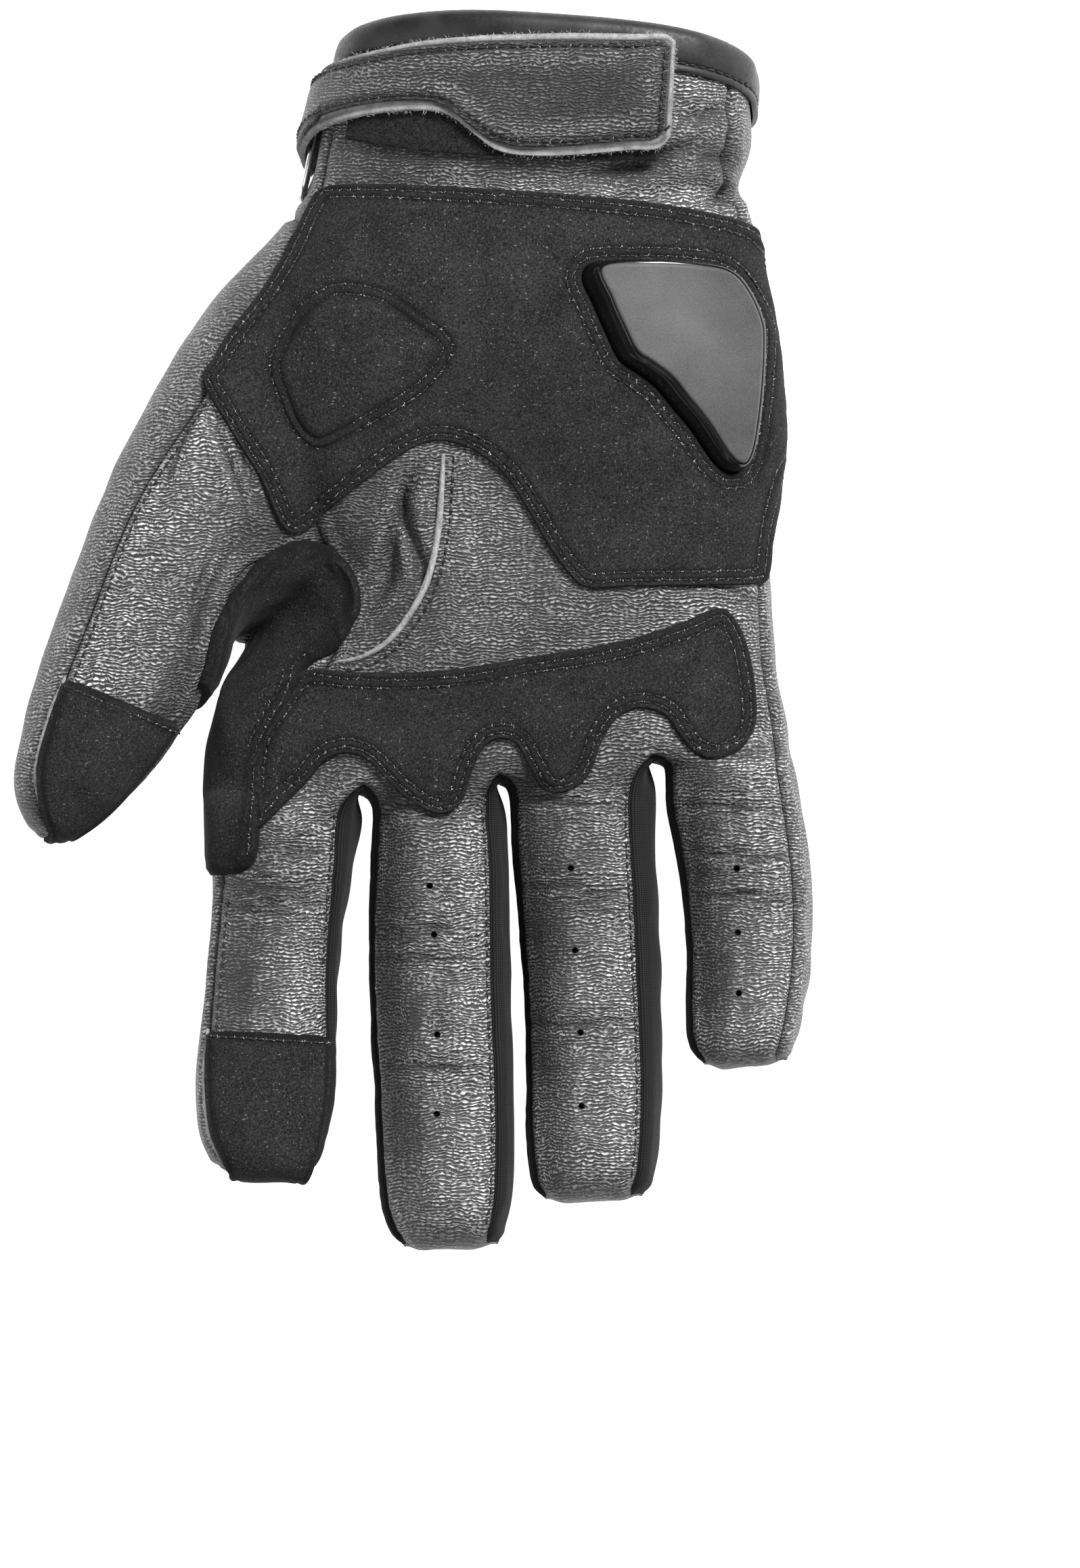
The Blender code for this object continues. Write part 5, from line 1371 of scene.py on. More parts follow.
# painted highlight: the ways that the lit parts face, for the fronts, the thumb and the sides, and how
# sharply it falls off
highlightFacing = {"front": (0.42, 0.20, 0.885), "thumb": (-0.30, 0.10, 0.949), "side": (0.72, 0.15, 0.677),
          "from": 0.77, "over": 0.22, "power": 1.3}


def paintedHighlightOn(number):
    # painted highlight where a panel faces a fixed way towards the lamps, joined with the painted highlight
    # and rubbed wear beside seams and creases
    ways = np.tile(highlightFacing["thumb" if number == thumbFrontNumber else "front"], (len(skinCo), 1))
    if number in (backNumber, thumbBackNumber):
        ways = np.tile(highlightFacing["side"], (len(skinCo), 1))
        ways[:, 0] *= np.sign(skinCo[:, 0])
    facing = ((skinNormals * ways).sum(axis=1) - highlightFacing["from"]) / highlightFacing["over"]
    return np.maximum(rubAndHighlightMask, np.clip(facing, 0, 1) ** highlightFacing["power"])


def makePanel(number):
    # one panel of the sculpted skin, drawn in at its seams and given its wall
    name, look, slot = panelParts[number]
    bm = bmesh.new()
    bm.from_mesh(skin)
    bm.verts.ensure_lookup_table()
    # painted shade: the ends of the tips that face away from the lamps are darkened through the crease mask
    under = np.clip((-skinNormals[:, 1] - tipShade["from"]) / tipShade["over"], 0, 1)
    masks = {"crease": np.maximum(paintedCreaseShade, tipShade["most"] * under), "rubAndHighlight": paintedHighlightOn(number),
             "wrinkle": wrinkleMask, "wall": tipCalm}
    for layerName, values in masks.items():
        layer = bm.verts.layers.float.new(layerName)
        for vertex, value in zip(bm.verts, values):
            vertex[layer] = value
    for vertex, spot in zip(bm.verts, sculpted):
        vertex.co = spot
    others = [face for face in bm.faces if face.material_index != number]
    bmesh.ops.delete(bm, geom=others, context="FACES")
    bm.normal_update()
    steps = {}
    for vertex in bm.verts:
        if vertex.is_boundary:
            inner = [edge.other_vert(vertex) for edge in vertex.link_edges if not edge.is_boundary]
            if inner:
                middle = sum((v.co for v in inner), Vector()) / len(inner)
                steps[vertex] = (middle - vertex.co).normalized() * panelLook["gap"]
    for vertex, step in steps.items():
        vertex.co += step
    for face in bm.faces:
        face.material_index = 0
    obj = meshObject(name, bm)
    walls = np.zeros(len(obj.data.vertices), np.float32)
    obj.data.attributes["wall"].data.foreach_get("value", walls)
    share = obj.vertex_groups.new(name="wall")
    for point, value in enumerate(walls):
        share.add([point], panelLook["thin"] + (1 - panelLook["thin"]) * float(value), "REPLACE")
    wall = obj.modifiers.new("wall", "SOLIDIFY")
    wall.vertex_group = "wall"
    wall.thickness = panelLook["wall"]
    wall.offset = -1.0
    wall.use_rim = True
    applied(obj)
    if number == palmNumber:
        cutAway(obj, ventRods())
    return finishPiece(obj, look, panelNodes[number])


panels = [makePanel(number) for number in range(len(panelNodes))]
print("panels:", sum(len(obj.data.polygons) for obj in panels), "faces")


def onSculpt(x, y):
    spot, normal, _, _ = sculptTree.ray_cast(Vector((x, y, 0.1)), Vector((0, 0, -1)))
    return (spot, normal) if spot and spot.z > 4 * mm else (None, None)


# Suede overlays
suedeLook = {
    # darkEdge and darkRow: widths of the painted shade at the cut edge and in the stitch grooves
    "thickness": 1.25 * mm, "seat": 0.35 * mm, "edge": 0.55 * mm, "rows": (1.4 * mm, 3.0 * mm),
    "groove": 0.26 * mm, "grooveWidth": 0.42 * mm, "between": 0.14 * mm, "pucker": 0.10 * mm,
    "swell": 0.28 * mm, "swellSize": 13 * mm, "darkEdge": 0.45 * mm, "darkRow": 0.58 * mm,
    "rings": [d * mm for d in (0.22, 0.5, 0.9, 1.2, 1.4, 1.6, 1.9, 2.3, 2.75, 3.0, 3.25, 3.7, 4.3)],
    "lattice": 1.1 * mm,
}
heelPad = [
    (-0.317, 0.687), (-0.263, 0.677), (-0.210, 0.649), (-0.159, 0.616), (-0.159, 0.588),
    (-0.204, 0.545), (-0.270, 0.512), (-0.334, 0.484), (-0.383, 0.470), (-0.423, 0.494),
    (-0.447, 0.535), (-0.462, 0.578), (-0.441, 0.620), (-0.399, 0.663), (-0.358, 0.685),
]
# dark: width of the painted shade in the pad's groove
padLook = {"groove": 0.35 * mm, "grooveWidth": 0.5 * mm, "rise": 0.45 * mm, "over": 7 * mm,
           "roll": 0.2 * mm, "rollAt": 1.3 * mm, "rollWidth": 0.8 * mm, "dark": 0.7 * mm}
stitchPaths = []  # (piece, pairs of spot and normal, kind) for the thread that is laid on at the end
rimPaths = []  # the same for the fibres of cut edges


def sheetRise(gaps):
    look = suedeLook
    rise = look["thickness"] * rounded(gaps, look["edge"])
    for row in look["rows"]:
        rise -= look["groove"] * bell(gaps - row, look["grooveWidth"])
    return rise + look["between"] * bell(gaps - sum(look["rows"]) / 2, 0.7 * mm)


webOutline = outlineOf(webPatch, 0.6 * mm)


def rowOn(path, rise, least=-2.0):
    # spots and normals above a path of the plan, where the skin faces up enough
    found = [onSkin(spot.x, spot.y) for spot in path]
    return [(ground + normal * rise, normal) for ground, normal in found if normal.z > least]


def laidRow(name, path, rise):
    # notes a row of stitches along a path of the plan, where the web patch doesn't hide it
    path = evenly(path, 0.5 * mm)
    hidden = insideOf(asArray(path), webOutline)
    stitchPaths.append((name, rowOn([spot for spot, over in zip(path, hidden) if not over], rise), "suede"))


def makePatch(name, node, outline, holes=(), inner=()):
    # inner: closed paths inside the sheet that carry a single row and a padded middle
    look, pad = suedeLook, padLook
    extra = [spot for loop in inner for d in (-0.7, -0.3, 0.1, 0.6) for spot in grown(loop, d * mm)]
    made, faces = planMesh(outline, list(holes), look["rings"], look["lattice"], extra)
    points = asArray(made)
    gaps = nearEdge(points, outline, holes)
    rise = sheetRise(gaps)
    # painted shade at the cut edge, in the stitch grooves and in the pad's groove
    dark = bell(gaps, look["darkEdge"])
    for row in look["rows"]:
        dark = np.maximum(dark, 0.95 * bell(gaps - row, look["darkRow"]))
    for loop in inner:
        away = awayFrom(points, loop)
        rise -= pad["groove"] * bell(away, pad["grooveWidth"])
        rise += np.where(insideOf(points, loop), pad["rise"] * rounded(away, pad["over"]),
                         pad["roll"] * bell(away - pad["rollAt"], pad["rollWidth"]))
        dark = np.maximum(dark, 0.95 * bell(away, pad["dark"]))
    place = np.column_stack([points, np.zeros(len(points))])
    free = np.clip(gaps / (4 * mm), 0, 1)
    rise += look["swell"] * waves(place, look["swellSize"], 21) * free
    rise += look["pucker"] * waves(place, 3.0 * mm, 8) * bell(gaps - 2.2 * mm, 2.2 * mm)
    upper, lower = [], []
    for spot, up in zip(made, rise):
        ground, normal = onSkin(spot.x, spot.y)
        upper.append(ground + normal * max(up, 0.02 * mm))
        lower.append(ground - normal * look["seat"])
    finishPiece(closedShell(name, upper, lower, faces, {"crease": dark}), "suede", node, 45)
    for row in look["rows"]:
        top = look["thickness"] - look["groove"] * 0.8
        laidRow(name, insideRing(outline, row), top)
        for hole in holes:
            laidRow(name, insideRing(hole, -row), top)
    for loop in inner:
        laidRow(name, loop, look["thickness"] - 0.15 * mm)
    rimPaths.append((name, rowOn(outline, look["thickness"] * 0.7), "nap"))


sliderPlan = [
    (0.105, 0.712), (0.189, 0.718), (0.283, 0.714), (0.328, 0.704), (0.356, 0.678),
    (0.376, 0.642), (0.380, 0.612), (0.376, 0.547), (0.366, 0.483), (0.355, 0.453),
    (0.341, 0.448), (0.321, 0.462), (0.286, 0.504), (0.253, 0.536), (0.224, 0.564),
    (0.189, 0.585), (0.164, 0.599), (0.142, 0.633), (0.121, 0.671),
]
sliderLook = {
    # drop and round: the body's rounded upper edge, in mm and in metres; dish: hollow of the plate
    "rise": 5.2 * mm, "margin": 0.6 * mm, "plate": 0.9 * mm, "seat": 0.25 * mm, "flare": 0.10,
    "drop": 0.45, "round": 0.7 * mm, "bulge": 0.22, "dish": 0.12 * mm,
}
plateOutline = outlineOf(sliderPlan, 0.6 * mm)
baseOutline = grown(plateOutline, sliderLook["margin"])


def fitTop():
    # a smooth slightly bowed face through the skin under the slider, raised by its height
    cloud = []
    low, high = asArray(baseOutline).min(0), asArray(baseOutline).max(0)
    for x in np.linspace(low[0] - 3 * mm, high[0], 18):
        for y in np.linspace(low[1], high[1], 18):
            ground, normal = onSkin(x, y)
            cloud.append(ground + normal * sliderLook["rise"])
    spots = spotsOf(cloud)
    keep = insideOf(spots[:, :2], grown(baseOutline, 1.5 * mm))
    x, y, z = ((spots[keep] - (*((low + high) / 2), 0)) / mm).T
    basis = np.column_stack([np.ones(len(x)), x, y, x * x, x * y, y * y])
    parts = np.linalg.lstsq(basis, z, rcond=None)[0]
    middle = (low + high) / 2

    def level(spot):
        u, v = (spot.x - middle[0]) / mm, (spot.y - middle[1]) / mm
        return float(parts @ (1, u, v, u * u, u * v, v * v)) * mm

    return level


sliderLevel = fitTop()


def alongTilt(spot, down):
    # the spot on the swept side, a depth below the slider's top
    way = sliderTilt / sliderTilt.z
    return Vector((spot.x - way.x * down, spot.y - way.y * down))


windowOutline = []
for spot in grown(baseOutline, 0.4 * mm):
    foot, _ = onSkin(spot.x, spot.y)
    for _ in range(4):
        below = alongTilt(spot, sliderLevel(spot) - foot.z)
        foot, _ = onSkin(below.x, below.y)
    windowOutline.append(below)
windowOutline = evenly(windowOutline, 0.8 * mm)


def makeSlider():
    look = sliderLook
    made, faces = planMesh(baseOutline, [], [d * mm for d in (0.12, 0.3, 0.6, 1.2)], 2.4 * mm)
    bm = bmesh.new()
    gaps = awayFrom(asArray(made), baseOutline)
    verts = []
    for spot, gap in zip(made, gaps):
        drop = look["drop"] * mm * (1 - float(rounded(gap, look["round"])))
        verts.append(bm.verts.new((spot.x, spot.y, sliderLevel(spot) - drop)))
    for face in faces:
        bm.faces.new([verts[k] for k in face])
    ring = verts[:len(baseOutline)]
    outward = [(a - b).normalized() for a, b in zip(grown(baseOutline, 1 * mm), baseOutline)]
    for down in (0.25, 0.7, 1.4, 2.4, 3.6, 4.8, 6.0, 7.4):
        below = []
        for spot, out in zip(baseOutline, outward):
            bulge = 0.10 + look["flare"] * down + look["bulge"] * math.sin(math.pi * min(1, down / 4.8))
            foot = alongTilt(spot, (look["drop"] + down) * mm) + out * bulge * mm
            below.append(bm.verts.new((foot.x, foot.y, sliderLevel(spot) - (look["drop"] + down) * mm)))
        for k in range(len(ring)):
            after = (k + 1) % len(ring)
            bm.faces.new((ring[k], below[k], below[after], ring[after]))
        ring = below
    bm.faces.new(ring)
    bmesh.ops.recalc_face_normals(bm, faces=bm.faces)
    bmesh.ops.triangulate(bm, faces=[face for face in bm.faces if len(face.verts) > 4])
    finishPiece(meshObject("sliderBase", bm), "gloss", "slider_base", 60)
    made, faces = planMesh(plateOutline, [], [d * mm for d in (0.06, 0.15, 0.3, 0.5, 0.9)], 2.0 * mm)
    gaps = awayFrom(asArray(made), plateOutline)
    lip = look["plate"] * rounded(gaps, 0.5 * mm) - look["dish"] * (1 - bell(gaps, 1.3 * mm))
    upper = [Vector((*s, sliderLevel(s) + float(up))) for s, up in zip(made, lip)]
    lower = [Vector((*s, sliderLevel(s) - look["seat"])) for s in made]
    finishPiece(closedShell("sliderPlate", upper, lower, faces), "satin", "slider_plate")


makeSlider()
padOutline = outlineOf(heelPad)
makePatch("palmPatch", "palm_patch", outlineOf(palmPatch), [windowOutline],
          [padOutline, grown(padOutline, -1.9 * mm)])
makePatch("knucklePatch", "knuckle_patch", outlineOf(knucklePatch))
print("suede overlays and slider")


# The web patch and the two tip patches follow the skin round its sides
def facesWhere(zone, ring, column):
    # numbers of the fine faces whose tags meet the three tests
    found = []
    for number, (z, r, c) in enumerate(zip(faceTags["zone"], faceTags["ring"], faceTags["column"])):
        if zones[z] == zone and ring(r) and column(c):
            found.append(number)
    return found


def wrapMesh(numbers):
    # the chosen faces of the fine skin as points, normals and faces of their own
    used = sorted({corner for number in numbers for corner in skinFaces[number]})
    place = {corner: k for k, corner in enumerate(used)}
    faces = [tuple(place[corner] for corner in skinFaces[number]) for number in numbers]
    return skinCo[used].copy(), skinNormals[used].copy(), faces


def borderLoops(faces):
    used = {pair for face in faces for pair in zip(face, (*face[1:], face[0]))}
    after = {a: b for a, b in used if (b, a) not in used}
    loops = []
    while after:
        start, spot = next(iter(after.items()))
        loop = [start]
        del after[start]
        while spot != start and spot in after:
            loop.append(spot)
            spot = after.pop(spot)
        loops.append(loop)
    return loops


def smoothBorder(co, faces, rounds):
    # evens a stepped border out by averaging its points along it
    for loop in borderLoops(faces):
        for _ in range(rounds):
            line = co[loop]
            co[loop] = 0.5 * line + 0.25 * (np.roll(line, 1, axis=0) + np.roll(line, -1, axis=0))
    return co


wrapLook = {
    # rounds: how often the border is evened out; lift: from the skin, over the suede below
    "tip": {"rounds": 6, "rows": (1.5 * mm,), "groove": 0.25 * mm, "dark": 0.35 * mm,
            "swell": 0.25 * mm, "size": 11 * mm, "seed": 31, "lift": 0.0},
    "web": {"rounds": 3, "rows": (1.4 * mm, 3.0 * mm), "groove": 0.26 * mm, "dark": 0.4 * mm,
            "swell": 0.35 * mm, "size": 10 * mm, "seed": 17, "lift": 0.5 * mm},
}


def wrapPatch(name, node, look, co, normals, faces):
    co = smoothBorder(co, faces, look["rounds"])
    gaps = nearestGap(co, [co[k] for loop in borderLoops(faces) for k in loop])
    rise = suedeLook["thickness"] * rounded(gaps, 0.6 * mm)
    # painted shade at the cut edge and in the stitch grooves
    dark = bell(gaps, look["dark"])
    for row in look["rows"]:
        rise -= look["groove"] * bell(gaps - row, 0.5 * mm)
        dark = np.maximum(dark, 0.95 * bell(gaps - row, 0.6 * mm))
    rise += look["swell"] * waves(co, look["size"], look["seed"]) * np.clip(gaps / (4 * mm), 0, 1)
    upper = [Vector(p) for p in co + normals * (np.maximum(rise, 0.03 * mm) + look["lift"])[:, None]]
    lower = [Vector(p) for p in co - normals * suedeLook["seat"]]
    finishPiece(closedShell(name, upper, lower, faces, {"crease": dark}), "suede", node, 45)


innerColumn = thumbCrotchRow - thumbTopRow


def makeWeb():
    # seen from above it is cut to its outline; round the side it ends on whole columns
    last = 2 * palmColumns + sidePoints + 1
    numbers = facesWhere("root", lambda r: True, lambda c: c < 3 or c > last)
    numbers += facesWhere("thumb", lambda r: 0 <= r < 5, lambda c: -2 <= c - innerColumn < sidePoints)
    last = 2 * fingerColumns + sidePoints + 1
    numbers += facesWhere("index", lambda r: 0 <= r < 3, lambda c: c < 2 or c > last)
    centres = np.array([skinCo[list(skinFaces[number])].mean(axis=0) for number in numbers])
    inside = insideOf(centres[:, :2], webOutline) & (centres[:, 2] > 7 * mm)
    co, normals, faces = wrapMesh([number for number, keep in zip(numbers, inside) if keep])
    # points near the outline are drawn on to it where the skin faces up
    tree = treeOf([(spot.x, spot.y, 0) for spot in webOutline])
    for k in [k for loop in borderLoops(faces) for k in loop]:
        near, _, gap = tree.find((co[k][0], co[k][1], 0))
        if gap < 1.6 * mm and normals[k][2] > 0.25:
            ground, normal = onSkin(near.x, near.y)
            if abs(ground.z - co[k][2]) < 4 * mm:
                co[k] = ground
                normals[k] = normal
    wrapPatch("webPatch", "web_patch", wrapLook["web"], co, normals, faces)
    for distance in wrapLook["web"]["rows"]:
        path = [spot for spot in insideRing(webOutline, distance)
                if spot.y < glovePlace.y + 0.19 * palmLength and spot.x > glovePlace.x - 0.50 * palmWidth]
        stitchPaths.append(("webPatch", rowOn(path, suedeLook["thickness"] + 0.3 * mm, 0.4), "suede"))


def makeTip(zone, first, columns):
    # the front of a digit from one of its rings on, with the middle of its closed tip
    numbers = facesWhere(zone, lambda r: r >= first, lambda c: 0 <= c < columns)
    numbers += facesWhere(zone, lambda r: r == -1, lambda c: c >= 0)
    wrapPatch(zone + "TipPatch", zone + "_tip_patch", wrapLook["tip"], *wrapMesh(numbers))
    ring = ringSpots[zone][first][:columns + 1]
    way = (ringSpots[zone][first + 1][columns // 2] - ring[columns // 2]).normalized()
    path = [spot + way * wrapLook["tip"]["rows"][0] for spot in openLine(ring)]
    stitchPaths.append((zone + "TipPatch", rowOn(path, suedeLook["thickness"] - 0.15 * mm, 0.3), "suede"))


makeWeb()
makeTip("thumb", 7, innerColumn)
makeTip("index", 5, fingerColumns)
print("web and tip patches")


# Strap, loop patch, binding, ring and welt
perTurn = 5.0 * mm  # length of one turn round the cuff
leastLift = 0.35
cuffCount = len(cuffRows[0])
cuffFine = [curveThrough(row, closed=True, steps=10) for row in cuffRows]


def cuffSpot(turn, y):
    # the skin at a turn round the cuff and a y of the palm's own frame
    at = (turn % cuffCount) * 10
    k, u = int(at), at - int(at)
    line = [row[k % len(row)].lerp(row[(k + 1) % len(row)], u) for row in cuffFine]
    y += glovePlace.y
    segment = 0
    for number in range(len(line) - 1):
        if line[number + 1].y <= y:
            segment = number
            break
    else:
        segment = len(line) - 2
    upper, lower = line[segment], line[segment + 1]
    spot = lower.lerp(upper, (y - lower.y) / (upper.y - lower.y))
    ground, _, index, _ = skinTree.find_nearest(spot)
    normal = skinAt(index, ground)
    return (ground if segment or y <= upper.y else spot), normal


def bandSheet(table, base, thickness, inset, lowInset, edge):
    # a closed sheet round the cuff; base is its height over the table's lift
    first, last = table[0][0], table[-1][0]
    dt = inset / perTurn
    start, end = first + dt, last - dt
    count = max(8, round((end - start) / 0.11))
    shares = [0.0, 0.012, 0.03, 0.055, 0.09] + [k / 26 for k in range(3, 24)]
    shares += [0.91, 0.945, 0.97, 0.988, 1.0]
    upper, lower, gaps = [], [], []
    for number in range(count + 1):
        turn = start + (end - start) * number / count
        ahead = min(turn + dt, last) if turn > 0 else max(turn - dt, first)
        low, high, _ = between(table, ahead)
        lift = max(between(table, turn)[2], leastLift) * mm + base
        low, high = low * palmLength + lowInset, high * palmLength - inset
        for share in shares:
            spot, normal = cuffSpot(turn, low + (high - low) * share)
            gap = max(0.0, min(min(share, 1 - share) * (high - low), (end - turn) * perTurn))
            upper.append(spot + normal * (lift + thickness * (0.35 + 0.65 * float(rounded(gap, edge)))))
            lower.append(spot + normal * lift)
            gaps.append(gap)
    wide = len(shares)
    corners = [i * wide + j for i in range(count) for j in range(wide - 1)]
    faces = [(a, a + 1, a + wide + 1, a + wide) for a in corners]
    return upper, lower, np.array(gaps), faces


strapLook = {
    # raw and grain: thickness of the two layers; insets: how far the grain stays inside the raw one
    "raw": 1.15 * mm, "grain": 1.15 * mm, "inset": 1.1 * mm, "lowInset": 1.9 * mm,
    "row": 1.2 * mm, "endRow": 1.3 * mm, "groove": 0.22 * mm, "grooveWidth": 0.5 * mm,
    "swell": 0.20 * mm, "swellSize": 8 * mm, "puff": 0.12 * mm, "puffAt": 2.6 * mm, "puffWidth": 1.0 * mm,
    # the last two: where the painted highlight band lies inside the edge
    "highlightAt": 3.2 * mm, "highlightWidth": 2.0 * mm,
}


def strapEdge(inset, lowInset, lift, side="high"):
    # a row along one side of the strap, measured in from its edge
    found = []
    turn = strap[0][0] + inset / perTurn
    while turn < strap[-1][0] - inset / perTurn:
        low, high, up = between(strap, turn)
        y = high * palmLength - inset if side == "high" else low * palmLength + lowInset
        spot, normal = cuffSpot(turn, y)
        found.append((spot + normal * (max(up, leastLift) * mm + lift), normal))
        turn += 0.10
    return found


def strapEnd(inset, lift):
    turn = strap[-1][0] - inset / perTurn
    low, high, up = between(strap, turn)
    low, high = low * palmLength + inset * 1.3, high * palmLength - inset
    found = [cuffSpot(turn, low + (high - low) * k / 59) for k in range(60)]
    return [(spot + normal * (up * mm + lift), normal) for spot, normal in found]


def makeStrap():
    look = strapLook
    inset, lowInset = look["inset"], look["lowInset"]
    upper, lower, gaps, faces = bandSheet(strap, 0.0, look["raw"], 0.0, 0.0, 0.5 * mm)
    # painted shade in the groove of the end row
    dark = bell(gaps - look["endRow"], look["grooveWidth"])
    finishPiece(closedShell("strapRaw", upper, lower, faces, {"crease": dark}), "raw", None)
    upper, lower, gaps, faces = bandSheet(
        strap, look["raw"] - 0.1 * mm, look["grain"], inset, lowInset, 0.9 * mm)
    co = spotsOf(upper)
    ways = co - spotsOf(lower)
    ways /= np.maximum(np.linalg.norm(ways, axis=1), 1e-9)[:, None]
    rise = -look["groove"] * bell(gaps - look["row"], look["grooveWidth"])
    rise += look["swell"] * waves(co, look["swellSize"], 41)
    rise += look["puff"] * bell(gaps - look["puffAt"], look["puffWidth"])
    co += ways * rise[:, None]
    # painted shade in the stitch groove and at the edge; painted highlight on the band inside the row
    dark = np.maximum(0.95 * bell(gaps - look["row"], 0.75 * mm), 0.9 * bell(gaps, 0.5 * mm))
    masks = {"crease": dark, "rubAndHighlight": bell(gaps - look["highlightAt"], look["highlightWidth"])}
    obj = closedShell("wristStrap", [Vector(p) for p in co], lower, faces, masks)
    finishPiece(obj, "strap", "wrist_strap")
    top = look["raw"] + look["grain"] - 0.02 * mm
    for row in (strapEdge(inset + look["row"], 0, top), strapEdge(0, lowInset + look["row"], top, "low"),
                strapEnd(inset + look["endRow"], top)):
        stitchPaths.append(("wristStrap", row, "leather"))
    top = look["raw"] * 0.6
    for row in (strapEdge(0.1 * mm, 0, top), strapEdge(0, 0.1 * mm, top, "low"), strapEnd(0.15 * mm, top)):
        rimPaths.append(("strapRaw", row, "raw"))


loopLook = {"thickness": 1.3 * mm, "tuft": 0.15 * mm, "tuftSize": 2.0 * mm, "tufts": 260, "each": 5}


def makeLoop():
    look = loopLook
    upper, lower, gaps, faces = bandSheet(loopPatch, 0.0, look["thickness"], 0.0, 0.0, 0.5 * mm)
    co = spotsOf(upper)
    co[:, 2] += look["tuft"] * waves(co, look["tuftSize"], 51)
    # painted shade along its edge
    obj = closedShell("loopPatch", [Vector(p) for p in co], lower, faces, {"crease": bell(gaps, 0.4 * mm)})
    finishPiece(obj, "pile", "loop_patch", 60)
    for number in range(look["tufts"]):
        turn = loopPatch[0][0] + (loopPatch[-1][0] - loopPatch[0][0]) * number / (look["tufts"] - 1)
        low, high, _ = between(loopPatch, turn)
        row = []
        for _ in range(look["each"]):
            share = low + (high - low) * draw.random() ** 2 * 0.5
            spot, normal = cuffSpot(turn, share * palmLength)
            row.append((spot + normal * 1.4 * mm, normal))
        rimPaths.append(("loopPatch", row, "pile"))


# The binding: its section, out from the rim and towards the fingers in mm, then its stitch row
bindingProfile = [
    (0.35, -7.00), (1.25, -6.95), (1.45, -6.40), (1.30, -5.80), (1.02, -5.35), (1.45, -4.70),
    (1.75, -3.20), (1.75, -1.20), (1.45, 0.30), (0.60, 1.35), (-0.60, 1.75), (-1.80, 1.50),
    (-2.70, 0.60), (-2.95, -0.80), (-2.95, -6.00), (-2.70, -6.30), (-1.90, -6.30), (-1.85, 0.20),
    (0.30, 0.30),
]


# dark: width of the painted shade in the stitch row's groove
bindingLook = {"rowAt": 5.35, "rowOut": 1.30, "dark": 0.35, "swell": 0.10 * mm, "swellSize": 7 * mm}


def sweep(name, rings, closed=True, masks=None):
    # a closed skin through like rings of points
    bm = bmesh.new()
    made = [[bm.verts.new(p) for p in ring] for ring in rings]
    count = len(made)
    for number in range(count if closed else count - 1):
        near, far = made[number], made[(number + 1) % count]
        for k in range(len(near)):
            after = (k + 1) % len(near)
            bm.faces.new((near[k], near[after], far[after], far[k]))
    if not closed:
        bm.faces.new(made[0])
        bm.faces.new(made[-1])
    bmesh.ops.recalc_face_normals(bm, faces=bm.faces)
    return meshObject(name, bm, masks)


def makeBinding():
    look = bindingLook
    rim = evenly([Vector(p) for p in cuffFine[0]], 0.9 * mm)
    tree = treeOf(cuffFine[0])
    smooth = [tuple(p) for p in curveThrough([Vector(p) for p in bindingProfile[:16]], closed=False, steps=3)]
    smooth += bindingProfile[16:]
    rings, dark, row, ways = [], [], [], []
    for spot in rim:
        _, k, _ = tree.find(spot)
        along = (cuffFine[0][k] - cuffFine[1][k]).normalized()
        _, _, index, _ = skinTree.find_nearest(spot - along * 4 * mm)
        normal = skinAt(index, spot - along * 4 * mm)
        ways.append((along, (normal - along * normal.dot(along)).normalized()))
    for number, spot in enumerate(rim):
        beside = [ways[(number + k) % len(ways)] for k in range(-4, 5)]
        along = sum((way for way, _ in beside), Vector()).normalized()
        out = sum((way for _, way in beside), Vector())
        out = (out - along * out.dot(along)).normalized()
        rings.append([spot + out * x * mm + along * y * mm for x, y in smooth])
        # painted shade in the groove of the stitch row
        dark += [0.95 * float(bell(y + look["rowAt"], look["dark"])) if x > 0.9 else 0.0 for x, y in smooth]
        row.append((spot + out * look["rowOut"] * mm - along * look["rowAt"] * mm, out))
    co = np.array([tuple(p) for ring in rings for p in ring])
    outs = np.array([tuple(out) for _, out in row]).repeat(len(smooth), axis=0)
    co += outs * (look["swell"] * waves(co, look["swellSize"], 61))[:, None]
    rings = [[Vector(p) for p in ring] for ring in co.reshape(len(rings), len(smooth), 3)]
    obj = sweep("cuffBinding", rings, masks={"crease": dark})
    finishPiece(obj, "smooth", "cuff_binding", 60)
    stitchPaths.append(("cuffBinding", row + row[:1], "binding"))


def tube(name, spots, radius, sides=12):
    count = len(spots)
    rings = []
    up = Vector((0, 0, 1))
    for k, spot in enumerate(spots):
        way = (spots[(k + 1) % count] - spots[k - 1]).normalized()
        side = way.cross(up).normalized()
        up = side.cross(way).normalized()
        rings.append([
            spot + (side * math.cos(turn) + up * math.sin(turn)) * radius
            for turn in (2 * math.pi * j / sides for j in range(sides))
        ])
    return sweep(name, rings)


def makeRing():
    # the steel loop lies on the leather, its path evened out three times
    spots = []
    for turn, share in strapRing:
        spot, normal = cuffSpot(turn, share * palmLength)
        spots.append(spot + normal * ringLift)
    path = evenly(curveThrough(spots), 0.5 * mm)
    for _ in range(3):
        path = [path[k] * 0.5 + (path[k - 1] + path[(k + 1) % len(path)]) * 0.25 for k in range(len(path))]
    finishPiece(tube("strapRing", path, ringWire / 2), "steel", "strap_ring", 180)


def wayAt(path, k):
    return (path[min(k + 1, len(path) - 1)] - path[max(k - 1, 0)]).normalized()


# half, high and wobble in mm: width, height and uneven sides; rowAt: where its stitches lie
weltLook = {"half": 0.68, "high": 1.2, "wobble": 0.10, "seat": 0.4 * mm, "rowAt": 2.1 * mm}


